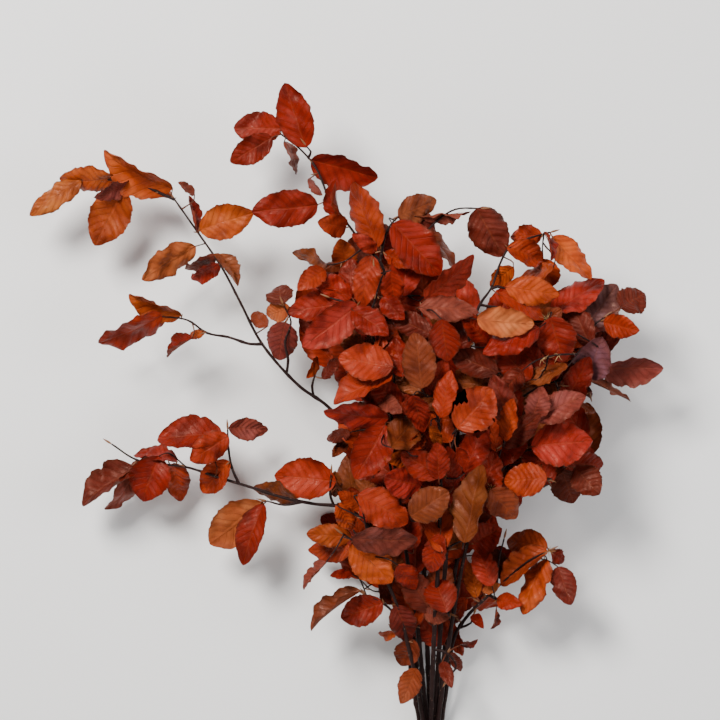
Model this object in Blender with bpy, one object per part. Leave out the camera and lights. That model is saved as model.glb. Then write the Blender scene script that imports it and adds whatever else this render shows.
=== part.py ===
"""A cut bunch of leafy copper beech branches, tied with twine and lying on a flat surface.

Plan places are millimetres across, to the right, and down, from the highest twigs to the cut stems. Heights
are millimetres above the surface. Each branch grew as one piece, so its stem, twigs, leaf stalks and leaves
are one solid. The leaves are set front first, each in the nearest clear place to its own height and slope.
"""

import math
import random
from collections import namedtuple

import bmesh
import bpy
from mathutils import Vector
from mathutils.bvhtree import BVHTree

# Sizes of wood and leaves, in millimetres
MM = 0.001
STEM_RADIUS = 2.9
STEM_TIP_RADIUS = 0.9
TWIG_RADIUS = 1.5
TWIG_TIP_RADIUS = 0.8
STALK_HALF = 0.5
SHOOT_HALF = 0.8
LONG_SHOOT = 60.0
STALK_GUARD = 1.7
STALK_NUDGE = 0.3
NUDGE_SEED = 3
STEM_STEP = 46.0
TWIG_STEP = 30.0
BLADE_THICKNESS = 0.8
BLADE_CLEARANCE = 2.4
WOOD_CLEARANCE = 0.7
ROOT_HALF_WIDTH = 1.1
NATURAL_LENGTH = 50.0

# Shares of a blade's length at which it is cut into strips
STATIONS = (0.0, 0.2, 0.48, 0.78, 1.0)

# Depth marks of leaves that don't hang below the crown's front
FREE = -1
FLOOR = -2

# The tie round the stems
TIE_ACROSS = 432.0
TIE_TOP = 741.0
TIE_BOTTOM = 757.0
TIE_SIDES = 24
CUT_END = 788.0
TWINE_RADIUS = 1.2
TWINE_TURNS = 4
TWINE_GAP = 0.35

# The crown: down, across, half its width, and the height of its front
CROWN = (
    (200, 425, 70, 112),
    (250, 435, 115, 132),
    (320, 450, 155, 158),
    (400, 455, 160, 166),
    (480, 450, 135, 142),
    (560, 435, 105, 108),
    (640, 430, 60, 66),
    (720, 432, 22, 34),
)

Branch = namedtuple("Branch", "name colour stem twigs leaves")
Leaf = namedtuple("Leaf", "base_across base_down tip_across tip_down width depth")

BRANCHES = (
    Branch(
        "branch_upper_left",
        (0.42, 0.12, 0.04),
        ((425.7, 0, 5.6), (419, 690, 13), (412, 620, 24), (402, 560, 36), (385, 500, 48), (362, 450, 60),
         (328, 407, 74), (299, 386, 80), (262, 344, 84), (240, 302, 85), (222, 268, 83), (198, 233, 79),
         (174, 199, 74)),
        (((174, 199, 74), (165, 195, 74), (150, 188, 73), (133, 182, 71), (110, 179, 68), (88, 178, 64)),
         ((264, 346, 84), (250, 344, 85), (228, 337, 85), (207, 333, 84), (187, 320, 82), (158, 316, 79)),
         ((313, 394, 78), (312, 386, 82), (316, 372, 87)),
         ((288, 370, 82), (288, 360, 84), (285, 342, 86), (291, 322, 88), (284, 306, 90))),
        (Leaf(172, 188, 102, 152, 30, FREE), Leaf(170, 197, 133, 184, 16, FREE),
         Leaf(114, 176, 57, 177, 24, FREE), Leaf(80, 179, 27, 214, 24, FREE),
         Leaf(122, 188, 93, 245, 42, FREE), Leaf(128, 180, 93, 197, 14, FREE),
         Leaf(199, 230, 254, 212, 36, FREE), Leaf(195, 246, 142, 280, 28, FREE),
         Leaf(215, 255, 184, 268, 14, FREE), Leaf(219, 264, 190, 280, 16, FREE),
         Leaf(213, 254, 238, 286, 9, FREE), Leaf(181, 315, 128, 296, 20, FREE),
         Leaf(163, 314, 97, 343, 24, FREE), Leaf(281, 305, 279, 285, 28, FREE),
         Leaf(290, 307, 266, 315, 22, FREE), Leaf(268, 326, 251, 314, 16, FREE),
         Leaf(285, 322, 278, 360, 32, FREE), Leaf(390, 505, 352, 470, 34, FLOOR)),
    ),
    Branch(
        "branch_lower_left",
        (0.45, 0.10, 0.035),
        ((422.6, 0, 11), (414, 690, 21), (407, 640, 33), (391, 575, 47), (364, 522, 57), (340, 508, 61),
         (315, 505, 63), (285, 499, 65), (250, 488, 64), (220, 479, 62), (185, 468, 58), (135, 461, 50),
         (109, 445, 46)),
        (((236, 484, 63), (231, 468, 66), (228, 450, 69), (227, 430, 71)),
         ((332, 507, 62), (330, 495, 65), (331, 475, 69)),
         ((300, 502, 64), (284, 506, 63), (266, 502, 61))),
        (Leaf(222, 435, 156, 440, 33, FREE), Leaf(228, 428, 268, 431, 23, FREE),
         Leaf(228, 436, 190, 461, 30, FREE), Leaf(229, 462, 200, 494, 28, FREE),
         Leaf(175, 463, 131, 457, 14, FREE), Leaf(157, 457, 140, 503, 42, FREE),
         Leaf(172, 464, 178, 503, 27, FREE), Leaf(134, 469, 80, 507, 27, FREE),
         Leaf(134, 470, 103, 512, 20, FREE), Leaf(262, 503, 208, 546, 47, FREE),
         Leaf(263, 505, 242, 567, 28, FREE), Leaf(297, 500, 250, 491, 20, FREE),
         Leaf(336, 482, 273, 476, 42, FREE), Leaf(335, 472, 335, 498, 14, FREE),
         Leaf(362, 545, 320, 520, 30, FLOOR)),
    ),
    Branch(
        "branch_bottom_left",
        (0.50, 0.16, 0.05),
        ((425.7, 0, 16.4), (419, 695, 34), (409, 650, 52), (395, 600, 70), (374, 562, 82), (353, 541, 88),
         (343, 534, 89)),
        (((401, 620, 62), (385, 606, 66), (366, 596, 68)),
         ((409, 652, 50), (402, 640, 50), (396, 634, 50)),
         ((372, 562, 82), (368, 535, 92), (362, 508, 98))),
        (Leaf(358, 494, 408, 522, 38, 4), Leaf(352, 538, 418, 540, 32, 6),
         Leaf(362, 508, 338, 492, 18, 18), Leaf(338, 503, 352, 531, 20, 14),
         Leaf(351, 538, 306, 535, 24, 8), Leaf(351, 552, 307, 553, 26, 16),
         Leaf(352, 543, 392, 583, 40, 2), Leaf(361, 592, 310, 631, 11, FREE),
         Leaf(383, 604, 341, 621, 32, FREE), Leaf(395, 607, 411, 643, 28, FREE),
         Leaf(414, 642, 401, 669, 26, FREE), Leaf(417, 672, 401, 706, 24, FREE),
         Leaf(398, 565, 416, 590, 24, 14), Leaf(380, 582, 398, 607, 22, 26)),
    ),
    Branch(
        "branch_left_middle",
        (0.52, 0.09, 0.03),
        ((428.9, 0, 11), (424, 690, 27), (418, 630, 44), (409, 570, 64), (399, 500, 86), (392, 440, 103),
         (389, 390, 112), (374, 340, 116), (356, 308, 115), (330, 298, 110)),
        (((399, 500, 86), (391, 470, 100), (386, 440, 112), (386, 422, 118)),
         ((390, 400, 110), (394, 384, 120), (393, 368, 126)),
         ((366, 325, 116), (376, 296, 120), (374, 270, 122))),
        (Leaf(352, 298, 314, 276, 26, 6), Leaf(350, 303, 288, 312, 32, 4),
         Leaf(358, 305, 303, 347, 36, 2), Leaf(371, 256, 362, 308, 28, 6),
         Leaf(390, 272, 395, 308, 24, 12), Leaf(382, 298, 404, 320, 22, 26),
         Leaf(352, 310, 388, 335, 28, 14), Leaf(386, 322, 376, 355, 10, 18),
         Leaf(393, 367, 338, 357, 38, 2), Leaf(392, 372, 333, 402, 28, 8),
         Leaf(388, 418, 324, 410, 26, 12), Leaf(385, 424, 355, 478, 40, 2),
         Leaf(350, 432, 326, 440, 14, 24), Leaf(346, 440, 332, 457, 14, 30),
         Leaf(385, 462, 356, 478, 16, 22), Leaf(380, 398, 402, 412, 18, 22),
         Leaf(421, 485, 384, 476, 34, 10), Leaf(418, 458, 385, 458, 20, 18)),
    ),
    Branch(
        "branch_top",
        (0.45, 0.08, 0.03),
        ((432, 0, 5.6), (430, 690, 15), (427, 620, 29), (423, 550, 44), (416, 480, 58), (409, 420, 70),
         (400, 362, 82), (391, 300, 92), (380, 262, 98), (365, 247, 100), (346, 222, 101), (330, 200, 100),
         (316, 168, 96), (300, 149, 91), (281, 134, 86)),
        (((312, 158, 94), (311, 152, 96), (307, 147, 98)),
         ((382, 262, 98), (384, 240, 104), (390, 226, 107), (400, 216, 108)),
         ((392, 305, 91), (408, 270, 100), (424, 236, 106), (436, 222, 108), (455, 210, 108),
          (480, 209, 107))),
        (Leaf(306, 148, 285, 84, 36, FREE), Leaf(281, 128, 233, 127, 34, FREE),
         Leaf(318, 205, 252, 212, 38, FREE), Leaf(311, 160, 378, 178, 32, FREE),
         Leaf(378, 248, 352, 183, 30, FREE),
         Leaf(346, 228, 318, 223, 24, FREE), Leaf(348, 268, 340, 239, 26, 14),
         Leaf(378, 250, 350, 208, 16, FREE), Leaf(376, 252, 352, 235, 16, FREE),
         Leaf(327, 265, 291, 253, 15, FREE), Leaf(325, 270, 298, 290, 22, FREE),
         Leaf(398, 217, 436, 200, 28, 8), Leaf(398, 217, 438, 235, 20, 20),
         Leaf(422, 232, 455, 270, 16, 20), Leaf(392, 225, 440, 276, 42, 0),
         Leaf(384, 253, 415, 268, 18, 16), Leaf(476, 209, 503, 257, 40, FREE),
         Leaf(405, 345, 372, 300, 34, FLOOR), Leaf(400, 262, 430, 226, 30, FLOOR),
         Leaf(272, 137, 230, 162, 28, FREE)),
    ),
    Branch(
        "branch_middle",
        (0.50, 0.10, 0.035),
        ((432, 0, 16.4), (433, 690, 40), (435, 630, 62), (438, 570, 86), (440, 500, 108), (440, 440, 122),
         (433, 395, 130), (425, 345, 132), (421, 313, 128)),
        (((438, 560, 88), (452, 545, 96), (463, 540, 100)),
         ((440, 470, 116), (450, 448, 128), (456, 430, 136)),
         ((436, 610, 70), (444, 612, 74), (449, 614, 76)),
         ((434, 650, 54), (447, 655, 58), (457, 668, 58), (449, 681, 56))),
        (Leaf(455, 427, 490, 388, 45, 0), Leaf(440, 417, 450, 370, 24, 12),
         Leaf(459, 430, 492, 416, 17, 10), Leaf(421, 388, 414, 333, 34, 2),
         Leaf(440, 320, 447, 362, 32, 6), Leaf(412, 395, 423, 432, 24, 14),
         Leaf(424, 300, 472, 256, 26, 2), Leaf(418, 308, 478, 312, 26, 14),
         Leaf(463, 541, 479, 463, 30, 0), Leaf(438, 478, 436, 441, 24, 8),
         Leaf(455, 447, 466, 466, 13, 16), Leaf(410, 515, 448, 490, 35, 6),
         Leaf(440, 533, 430, 573, 24, 8), Leaf(447, 612, 435, 580, 34, 4),
         Leaf(430, 425, 440, 446, 12, 20), Leaf(406, 450, 424, 433, 14, 26),
         Leaf(425, 615, 450, 618, 18, 10), Leaf(443, 664, 452, 688, 14, FREE),
         Leaf(452, 655, 463, 676, 12, FREE)),
    ),
    Branch(
        "branch_upper_right",
        (0.55, 0.17, 0.06),
        ((435.1, 0, 11), (438, 690, 31), (442, 620, 50), (447, 550, 70), (451, 485, 88), (458, 430, 102),
         (466, 370, 112), (468, 340, 117), (479, 305, 121), (490, 289, 122), (500, 262, 121), (508, 249, 119),
         (525, 240, 115), (549, 233, 109)),
        (((490, 289, 122), (497, 287, 123), (504, 289, 123)),
         ((480, 303, 121), (510, 312, 118), (536, 322, 114), (548, 319, 112))),
        (Leaf(541, 235, 509, 237, 23, FREE), Leaf(506, 248, 542, 262, 26, FREE),
         Leaf(512, 268, 489, 287, 19, 14), Leaf(543, 259, 549, 288, 27, 16),
         Leaf(551, 237, 590, 280, 26, FREE),
         Leaf(504, 288, 558, 295, 30, 2), Leaf(552, 268, 518, 279, 16, 10),
         Leaf(497, 295, 543, 320, 24, 12), Leaf(475, 320, 532, 325, 30, 2),
         Leaf(537, 328, 481, 354, 30, 3), Leaf(548, 318, 562, 362, 40, 2),
         Leaf(551, 312, 605, 280, 28, 0), Leaf(590, 345, 570, 300, 26, 16)),
    ),
    Branch(
        "branch_right",
        (0.32, 0.10, 0.07),
        ((438.3, 0, 5.6), (443, 690, 14), (450, 620, 27), (461, 550, 40), (477, 490, 53), (499, 430, 64),
         (524, 397, 72), (550, 383, 78), (575, 378, 82), (600, 371, 84)),
        (((560, 381, 80), (574, 350, 90), (590, 328, 96), (603, 318, 98)),
         ((578, 378, 82), (588, 384, 82), (590, 392, 80))),
        (Leaf(588, 325, 618, 284, 38, 0), Leaf(620, 308, 645, 293, 31, FREE),
         Leaf(603, 322, 637, 331, 24, FREE), Leaf(588, 377, 600, 338, 38, 4),
         Leaf(600, 370, 664, 368, 30, FREE),
         Leaf(565, 366, 521, 384, 16, 6), Leaf(520, 370, 498, 395, 22, 12),
         Leaf(530, 418, 540, 386, 26, 4), Leaf(533, 418, 583, 395, 30, 2),
         Leaf(515, 418, 553, 368, 36, FLOOR), Leaf(488, 490, 530, 478, 32, FLOOR)),
    ),
    Branch(
        "branch_lower_right",
        (0.38, 0.07, 0.04),
        ((438.3, 0, 16.4), (444, 690, 34), (452, 630, 53), (462, 570, 72), (474, 520, 86), (489, 488, 95),
         (508, 462, 101), (527, 450, 103), (548, 455, 100), (564, 464, 96)),
        (((490, 487, 95), (497, 462, 104), (503, 440, 110)),
         ((474, 520, 86), (484, 500, 100), (492, 488, 108)),
         ((508, 462, 101), (528, 472, 108), (545, 478, 110))),
        (Leaf(503, 440, 510, 398, 18, 6), Leaf(530, 446, 591, 440, 46, 0),
         Leaf(575, 468, 598, 494, 32, FREE), Leaf(562, 470, 575, 504, 34, 14),
         Leaf(545, 478, 503, 480, 34, 2), Leaf(489, 488, 516, 518, 32, 6),
         Leaf(470, 545, 500, 528, 34, 16), Leaf(566, 462, 604, 464, 26, FREE)),
    ),
    Branch(
        "branch_bottom_right",
        (0.40, 0.12, 0.05),
        ((441.4, 0, 11), (447, 700, 24), (456, 640, 38), (470, 617, 48), (490, 597, 56), (505, 583, 61),
         (530, 562, 64), (550, 552, 65)),
        (((470, 637, 44), (472, 626, 46), (475, 617, 49)),
         ((490, 597, 56), (500, 602, 57), (511, 604, 57)),
         ((498, 590, 58), (500, 560, 62), (505, 540, 64))),
        (Leaf(468, 600, 453, 628, 15, FREE), Leaf(447, 622, 464, 662, 16, FREE),
         Leaf(472, 605, 505, 607, 16, FREE),
         Leaf(498, 602, 522, 605, 18, FREE), Leaf(549, 552, 503, 588, 22, FREE),
         Leaf(549, 549, 508, 544, 30, FREE), Leaf(552, 553, 566, 563, 16, FREE),
         Leaf(548, 560, 524, 616, 25, FREE), Leaf(559, 568, 571, 605, 26, FREE),
         Leaf(515, 575, 482, 555, 28, FREE), Leaf(478, 600, 470, 565, 18, FREE)),
    ),
)

# Leaves at the back: how far apart along the stem, how long, and which stretch of stem carries them
BACK_SPACING = 30.0
BACK_LENGTHS = (46.0, 64.0)
BACK_FROM_DOWN = 640.0


# A direction that no stem or twig runs along
SLANT = Vector((0.31, 0.27, 0.91))
ACROSS = Vector((1.0, 0.0, 0.0))


class Shape:
    """A closed mesh: its points, its triangles and which triangles are at a blade's root."""

    def __init__(self, points, faces, roots=()):
        self.points = points
        self.faces = faces
        self.roots = set(roots)


def spot(across, down, height):
    """The point at a plan place and a height."""
    return Vector((across, -down, height))


def between(before, start, end, after, share):
    """The point at a share of the way from start to end on a smooth curve through four points."""
    early = math.sqrt((start - before).length)
    late = early + math.sqrt((end - start).length)
    last = late + math.sqrt((after - end).length)
    time = early + (late - early) * share
    first = before.lerp(start, time / early)
    second = start.lerp(end, (time - early) / (late - early))
    third = end.lerp(after, (time - late) / (last - late))
    low = first.lerp(second, time / late)
    high = second.lerp(third, (time - early) / (last - early))
    return low.lerp(high, (time - early) / (late - early))


def smooth_route(points, step):
    """Points about a step apart on a smooth curve through the route's own points."""
    ends = [points[0] * 2 - points[1], *points, points[-1] * 2 - points[-2]]
    route = [points[0]]
    for before, start, end, after in zip(ends, ends[1:], ends[2:], ends[3:]):
        count = max(1, round((end - start).length / step))
        route += [between(before, start, end, after, k / count) for k in range(1, count + 1)]
    return route


def taper(route, start_radius, end_radius):
    """A radius for each point of a route, shrinking evenly along it."""
    travelled = [0.0]
    for one, other in zip(route, route[1:]):
        travelled.append(travelled[-1] + (other - one).length)
    return [start_radius + (end_radius - start_radius) * way / travelled[-1] for way in travelled]


def with_bud(route, radii):
    """A route and its radii with a long pointed bud added at the end."""
    ahead = (route[-1] - route[-2]).normalized()
    swell = max(radii[-1] * 1.35, 1.2)
    return route + [route[-1] + ahead * 3.5, route[-1] + ahead * 11.0], radii + [swell, 0.25]


def tube(route, radii, sides, across=SLANT):
    """A closed tube of flat sides along a route, with a corner towards across at its start."""
    points = []
    for i, centre in enumerate(route):
        ahead = (route[min(i + 1, len(route) - 1)] - route[max(i - 1, 0)]).normalized()
        across = (across - ahead * across.dot(ahead)).normalized()
        other = ahead.cross(across)
        for k in range(sides):
            angle = math.tau * k / sides
            points.append(centre + (across * math.cos(angle) + other * math.sin(angle)) * radii[i])
    faces = []
    for i in range(len(route) - 1):
        for k in range(sides):
            low = i * sides + k
            next_low = i * sides + (k + 1) % sides
            faces.append((low, next_low, next_low + sides))
            faces.append((low, next_low + sides, low + sides))
    end = (len(route) - 1) * sides
    for k in range(1, sides - 1):
        faces.append((0, k + 1, k))
        faces.append((end, end + k, end + k + 1))
    return Shape(points, faces, range(len(faces)))


class Blade:
    """A leaf's blade: where it lies, which way it faces and how it folds, arches and waves."""

    def __init__(self, leaf, middle_height, pitch, roll, draw):
        plan = math.hypot(leaf.tip_across - leaf.base_across, leaf.tip_down - leaf.base_down)
        rise = plan * math.tan(pitch)
        self.base = spot(leaf.base_across, leaf.base_down, middle_height - rise / 2)
        self.tip = spot(leaf.tip_across, leaf.tip_down, middle_height + rise / 2)
        self.length = (self.tip - self.base).length
        self.along = (self.tip - self.base) / self.length
        upright = (Vector((0, 0, 1)) - self.along * self.along.z).normalized()
        sideways = upright.cross(self.along)
        self.normal = upright * math.cos(roll) + sideways * math.sin(roll)
        self.side = self.normal.cross(self.along)
        narrow = leaf.width < 0.3 * plan
        self.fold = math.radians(draw.uniform(20, 32) if narrow else draw.uniform(4, 15))
        self.arch = draw.uniform(-0.05, 0.09)
        self.cup = draw.uniform(0.2, 0.4) if narrow else draw.uniform(-0.12, 0.16)
        self.wave = draw.uniform(0.02, 0.05)
        self.phase = draw.uniform(0, math.tau)
        self.twist = draw.uniform(-0.35, 0.35)
        self.half = leaf.width / 2 / math.cos(self.fold) / math.cos(roll)
        if leaf.depth == FLOOR:
            self.fold = self.arch = self.cup = self.wave = self.twist = 0.0
            self.half = leaf.width / 2

    def half_width(self, share):
        """Half the blade's width at a share of its length: oval, with a short point."""
        oval = max(math.sin(math.pi * share ** 0.9), 0.0) ** 0.7
        return max(self.half * oval * (1 - 0.25 * share ** 4), ROOT_HALF_WIDTH if share < 0.5 else 0.0)

    def at(self, share, across):
        """The point at a share of the blade's length and across it, from -1 to 1."""
        turn = self.twist * (share - 0.5)
        side = self.side * math.cos(turn) + self.normal * math.sin(turn)
        facing = self.normal * math.cos(turn) - self.side * math.sin(turn)
        reach = self.half_width(share) * across
        height = self.arch * self.length * 4 * share * (1 - share)
        height += abs(reach) * math.sin(self.fold)
        height += self.cup * self.half_width(share) * across ** 2
        ripple = math.sin(math.tau * 1.6 * share + self.phase + (1.9 if across < 0 else 0.0))
        height += self.wave * self.length * ripple * math.sin(math.pi * share) * across ** 2
        return (self.base + self.along * (self.length * share)
                + side * (reach * math.cos(self.fold)) + facing * height)


def blade_shape(blade, thickness, stations=STATIONS, stalk=None):
    """A blade as a closed solid, with its triangles alike on both faces, on its stalk if it has one."""
    root, low, broad, high, point = stations
    middle = [blade.at(share, across) for share in (root, low, broad, high) for across in (1, -1)]
    middle += [blade.at(broad, 0), blade.at(point, 0)]
    count = len(middle)
    top = [(1, 3, 2), (1, 2, 0), (3, 5, 8), (3, 8, 2), (2, 8, 4), (5, 7, 8), (8, 7, 6), (8, 6, 4), (7, 9, 6)]
    rim = [1, 3, 5, 7, 9, 6, 4, 2, 0]
    faces = top + [(c + count, b + count, a + count) for a, b, c in top]
    for one, other in zip(rim, rim[1:] if stalk else rim[1:] + rim[:1]):
        faces.append((one + count, other + count, other))
        faces.append((one + count, other, one))
    lift = blade.normal * (thickness / 2)
    upper = [point + lift for point in middle]
    lower = [point - lift for point in middle]
    for above, below in zip(upper, lower):
        below.z = max(below.z, 0.0)
        above.z = max(above.z, below.z + (thickness if below.z == 0.0 else 0.0))
    roots = [k for k, face in enumerate(faces) if min(p % count for p in face) < 2]
    points = upper + lower
    if stalk:
        add_stalk(points, faces, stalk, blade, (0, 1, 1 + count, count))
    return Shape(points, faces, roots)


def add_stalk(points, faces, route, blade, root):
    """Adds a four-sided stalk along a route that ends at the root of a blade."""
    gap = sum((other - one).length for one, other in zip(route, route[1:]))
    thick = STALK_HALF + (SHOOT_HALF - STALK_HALF) * min(gap / LONG_SHOOT, 1.0)
    side = blade.side
    ring = root
    for i in range(len(route) - 2, -1, -1):
        ahead = (route[i + 1] - route[max(i - 1, 0)]).normalized()
        side = (side - ahead * side.dot(ahead)).normalized()
        facing = ahead.cross(side)
        start = len(points)
        for across, up in ((1, 1), (-1, 1), (-1, -1), (1, -1)):
            points.append(route[i] + side * (thick * across) + facing * (thick * up))
        for k in range(4):
            one, two = start + k, start + (k + 1) % 4
            faces.append((one, two, ring[(k + 1) % 4]))
            faces.append((one, ring[(k + 1) % 4], ring[k]))
        ring = (start, start + 1, start + 2, start + 3)
    faces.append((ring[0], ring[2], ring[1]))
    faces.append((ring[0], ring[3], ring[2]))


class Crowd:
    """All that is placed so far, with the branch that each triangle belongs to."""

    def __init__(self):
        self.points = []
        self.faces = []
        self.owners = []
        self.roots = []
        self.tree = None

    def add(self, shape, owner):
        """Adds a shape and returns the numbers of its triangles."""
        start = len(self.points)
        first = len(self.faces)
        self.points += shape.points
        self.faces += [tuple(start + p for p in face) for face in shape.faces]
        self.owners += [owner] * len(shape.faces)
        self.roots += [k in shape.roots for k in range(len(shape.faces))]
        self.tree = None
        return range(first, len(self.faces))

    def forget(self, numbers):
        """Leaves out triangles that were added."""
        for k in numbers:
            self.owners[k] = None

    def meets(self, shape, owner):
        """2 where a shape crosses another branch, 1 where it crosses its own, and 0 where it is clear."""
        if self.tree is None:
            self.tree = BVHTree.FromPolygons(self.points, self.faces)
        found = 0
        for placed, new in self.tree.overlap(BVHTree.FromPolygons(shape.points, shape.faces)):
            if self.owners[placed] is None:
                continue
            if self.owners[placed] != owner:
                return 2
            if not self.roots[placed] and new not in shape.roots:
                found = 1
        return found


def crown_front(across, down):
    """The height of the crown's front at a plan place."""
    lower = [row for row in CROWN if row[0] <= down] or [CROWN[0]]
    upper = [row for row in CROWN if row[0] > down] or [CROWN[-1]]
    start, end = lower[-1], upper[0]
    share = (down - start[0]) / (end[0] - start[0]) if end[0] != start[0] else 0.0
    share = min(max(share, 0.0), 1.0)
    centre, half, height = (start[k] + (end[k] - start[k]) * share for k in (1, 2, 3))
    out = min(abs(across - centre) / half, 1.0)
    return height * math.sqrt(1 - 0.72 * out ** 2)


def stem_route(branch):
    """A stem's smooth route from its cut end through the tie and up into the crown."""
    across, _, height = branch.stem[0]
    splay = (across - TIE_ACROSS) * 0.35
    cut = CUT_END + 4 * math.sin(across * 3 + height)
    held = [spot(across + splay, cut, height * 1.1 - 0.4), spot(across, TIE_BOTTOM, height),
            spot(across, TIE_TOP, height)]
    return smooth_route(held + [spot(*place) for place in branch.stem[1:]], STEM_STEP)


def twig_route(points, wood):
    """A side twig's smooth route, starting inside the nearest wood."""
    start = min(wood, key=lambda place: (place - points[0]).length)
    return smooth_route([start, *points[1:]] if (points[1] - start).length > 6 else [start, *points[2:]],
                        TWIG_STEP)


def fine_points(route):
    """Points every few millimetres along a route."""
    places = []
    for one, other in zip(route, route[1:]):
        count = max(1, round((other - one).length / 6))
        places += [one.lerp(other, k / count) for k in range(count)]
    return places + [route[-1]]


class Grown:
    """A branch as it grows: its shapes, the places on its wood, and its leaves still without a stalk."""

    def __init__(self, number, branch):
        self.number = number
        self.branch = branch
        self.route = stem_route(branch)
        self.stem = tube(*with_bud(self.route, taper(self.route, STEM_RADIUS, STEM_TIP_RADIUS)), 6, ACROSS)
        self.guard = tube(self.route, taper(self.route, STEM_RADIUS + WOOD_CLEARANCE,
                                            STEM_TIP_RADIUS + WOOD_CLEARANCE), 6)
        self.wood = [place for place in fine_points(self.route) if -place.y < 700]
        self.shapes = []
        self.stalks = []
        self.blades = []
        for points in branch.twigs:
            route = twig_route([spot(*place) for place in points], self.wood)
            self.wood += fine_points(route)
            self.stalks.append(route)
            self.shapes.append(tube(*with_bud(route, taper(route, TWIG_RADIUS, TWIG_TIP_RADIUS)), 4))


def tries(leaf, draw):
    """Heights below the wish, pitches and rolls to try for a leaf, the likeliest first."""
    plan = math.hypot(leaf.tip_across - leaf.base_across, leaf.tip_down - leaf.base_down)
    foreshortened = math.acos(min(1.0, plan / NATURAL_LENGTH)) * 0.7
    wish = foreshortened * draw.choice((-1, -1, 1)) + math.radians(draw.uniform(-14, 8))
    wish = max(min(wish, math.radians(44)), math.radians(-44))
    ratio = leaf.width / plan
    lean = math.acos(min(1.0, max(ratio / 0.58, 0.45)))
    lean = lean * draw.choice((-1, 1)) if ratio < 0.5 else math.radians(draw.uniform(-16, 16))
    if leaf.depth == FLOOR:
        return [(0.0, 0.0, 0.0)]
    if leaf.depth == FREE:
        heights = (0, 3, -3, 6, -6, 10, -10, 15, -15, 20, -20)
    else:
        heights = (0, -5, 4, -10, 8, -16, 13, -23, -30, -38, -46, -55, -65, -75, -85)
    slopes = [math.radians(step) for step in (0, 9, -9, 18, -18, 28, -28, 40, -40)]
    rolls = [(lean, 0), (lean * 0.5, 1), (-lean, 2), (lean + 0.3, 3), (lean - 0.3, 3), (-lean * 0.5, 3)]
    listed = []
    for height in heights:
        for slope in slopes:
            for roll, cost in rolls:
                if abs(wish + slope) > math.radians(52) or abs(roll) > math.radians(66):
                    continue
                total = abs(height) / 7 + abs(slope) * 3.2 + cost * 0.7
                listed.append((total, height, wish + slope, roll))
    listed.sort()
    return [row[1:] for row in listed]


def place_blade(grown, leaf, draw, crowd):
    """Sets a leaf's blade in the first clear place, or returns None."""
    if leaf.depth == FREE:
        base = spot(leaf.base_across, leaf.base_down, 0)
        near = min(grown.wood, key=lambda place: (place.xy - base.xy).length)
        wished = near.z + 1
    elif leaf.depth == FLOOR:
        wished = BLADE_THICKNESS / 2
    else:
        across = (leaf.base_across + leaf.tip_across) / 2
        wished = crown_front(across, (leaf.base_down + leaf.tip_down) / 2) - leaf.depth
    plan = math.hypot(leaf.tip_across - leaf.base_across, leaf.tip_down - leaf.base_down)
    state = draw.getstate()
    second_best = None
    for height, pitch, roll in tries(leaf, draw):
        draw.setstate(state)
        middle = wished + height
        if leaf.depth == FREE:
            middle += plan / 2 * math.tan(pitch)
        if leaf.depth != FLOOR and middle - plan / 2 * abs(math.tan(pitch)) < 2:
            continue
        blade = Blade(leaf, middle, pitch, roll, draw)
        found = crowd.meets(blade_shape(blade, BLADE_CLEARANCE), grown.number)
        if found == 0:
            return blade
        if found == 1 and second_best is None:
            second_best = blade
    return second_best if leaf.depth in (FREE, FLOOR) else None


def stalk_route(start, blade, bow):
    """A leaf stalk's route from the wood into the root of its blade."""
    root = blade.at(0.0, 0)
    gap = (root - start).length
    bend = root - blade.along * (gap * 0.42) + blade.side * (gap * bow)
    count = 1 if gap < 14 else 2 if gap < 50 else 3
    route = []
    for k in range(count):
        share = k / count
        route.append(start.lerp(bend, share).lerp(bend.lerp(root, share), share))
    for place in route:
        place.z = max(place.z, SHOOT_HALF + 0.3)
    return route + [root]


def grow_stalk(grown, blade, crowd):
    """Joins a blade to the wood by the cheapest clear stalk, and says whether one was found."""
    root = blade.base

    def cost(place):
        way = root - place
        gap = way.length
        turn = 1 - (way.normalized().dot(blade.along) if gap > 1 else 1)
        return gap * (1 + 0.45 * turn)

    draw = random.Random(NUDGE_SEED * 10000 + grown.number * 100 + len(grown.stalks))
    nudge = Vector([draw.uniform(-STALK_NUDGE, STALK_NUDGE) for _ in range(3)])
    targets = [place + nudge for place in sorted(grown.wood, key=cost)[:60:3]]
    fallback = None
    for start in targets:
        for bow in (0.0, 0.18, -0.18, 0.4, -0.4):
            route = stalk_route(start, blade, bow)
            guard = tube(route, [STALK_GUARD] * len(route), 4)
            guard.roots = set()
            found = crowd.meets(guard, grown.number)
            if found == 0:
                return route
            if found == 1 and fallback is None:
                fallback = route
        if fallback is not None and start is targets[min(5, len(targets) - 1)]:
            break
    return fallback


def add_leaf(grown, blade, route, crowd):
    """Adds a blade on its stalk to its branch."""
    crowd.add(tube(route, [SHOOT_HALF * 1.3] * len(route), 4), grown.number)
    grown.blades.append(blade)
    grown.shapes.append(blade_shape(blade, BLADE_THICKNESS, stalk=route))
    grown.stalks.append(route)
    grown.wood += fine_points(route)[:-3]


def plan_covered(blade, fronts):
    """Whether a blade hides behind the front leaves, seen from straight above."""
    for share, across in ((0.1, 0), (0.5, 0), (1.0, 0), (0.5, 1), (0.5, -1), (0.25, 0.9), (0.25, -0.9),
                          (0.8, 0.8), (0.8, -0.8)):
        place = blade.at(share, across)
        for front in fronts:
            way = place - front.base
            ahead = way.xy.dot(front.flat_along) / front.plan
            if not 0 <= ahead <= 1:
                continue
            if abs(way.xy.dot(front.flat_side)) <= front.half_width(ahead) * front.shrink:
                break
        else:
            return False
    return True


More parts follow.
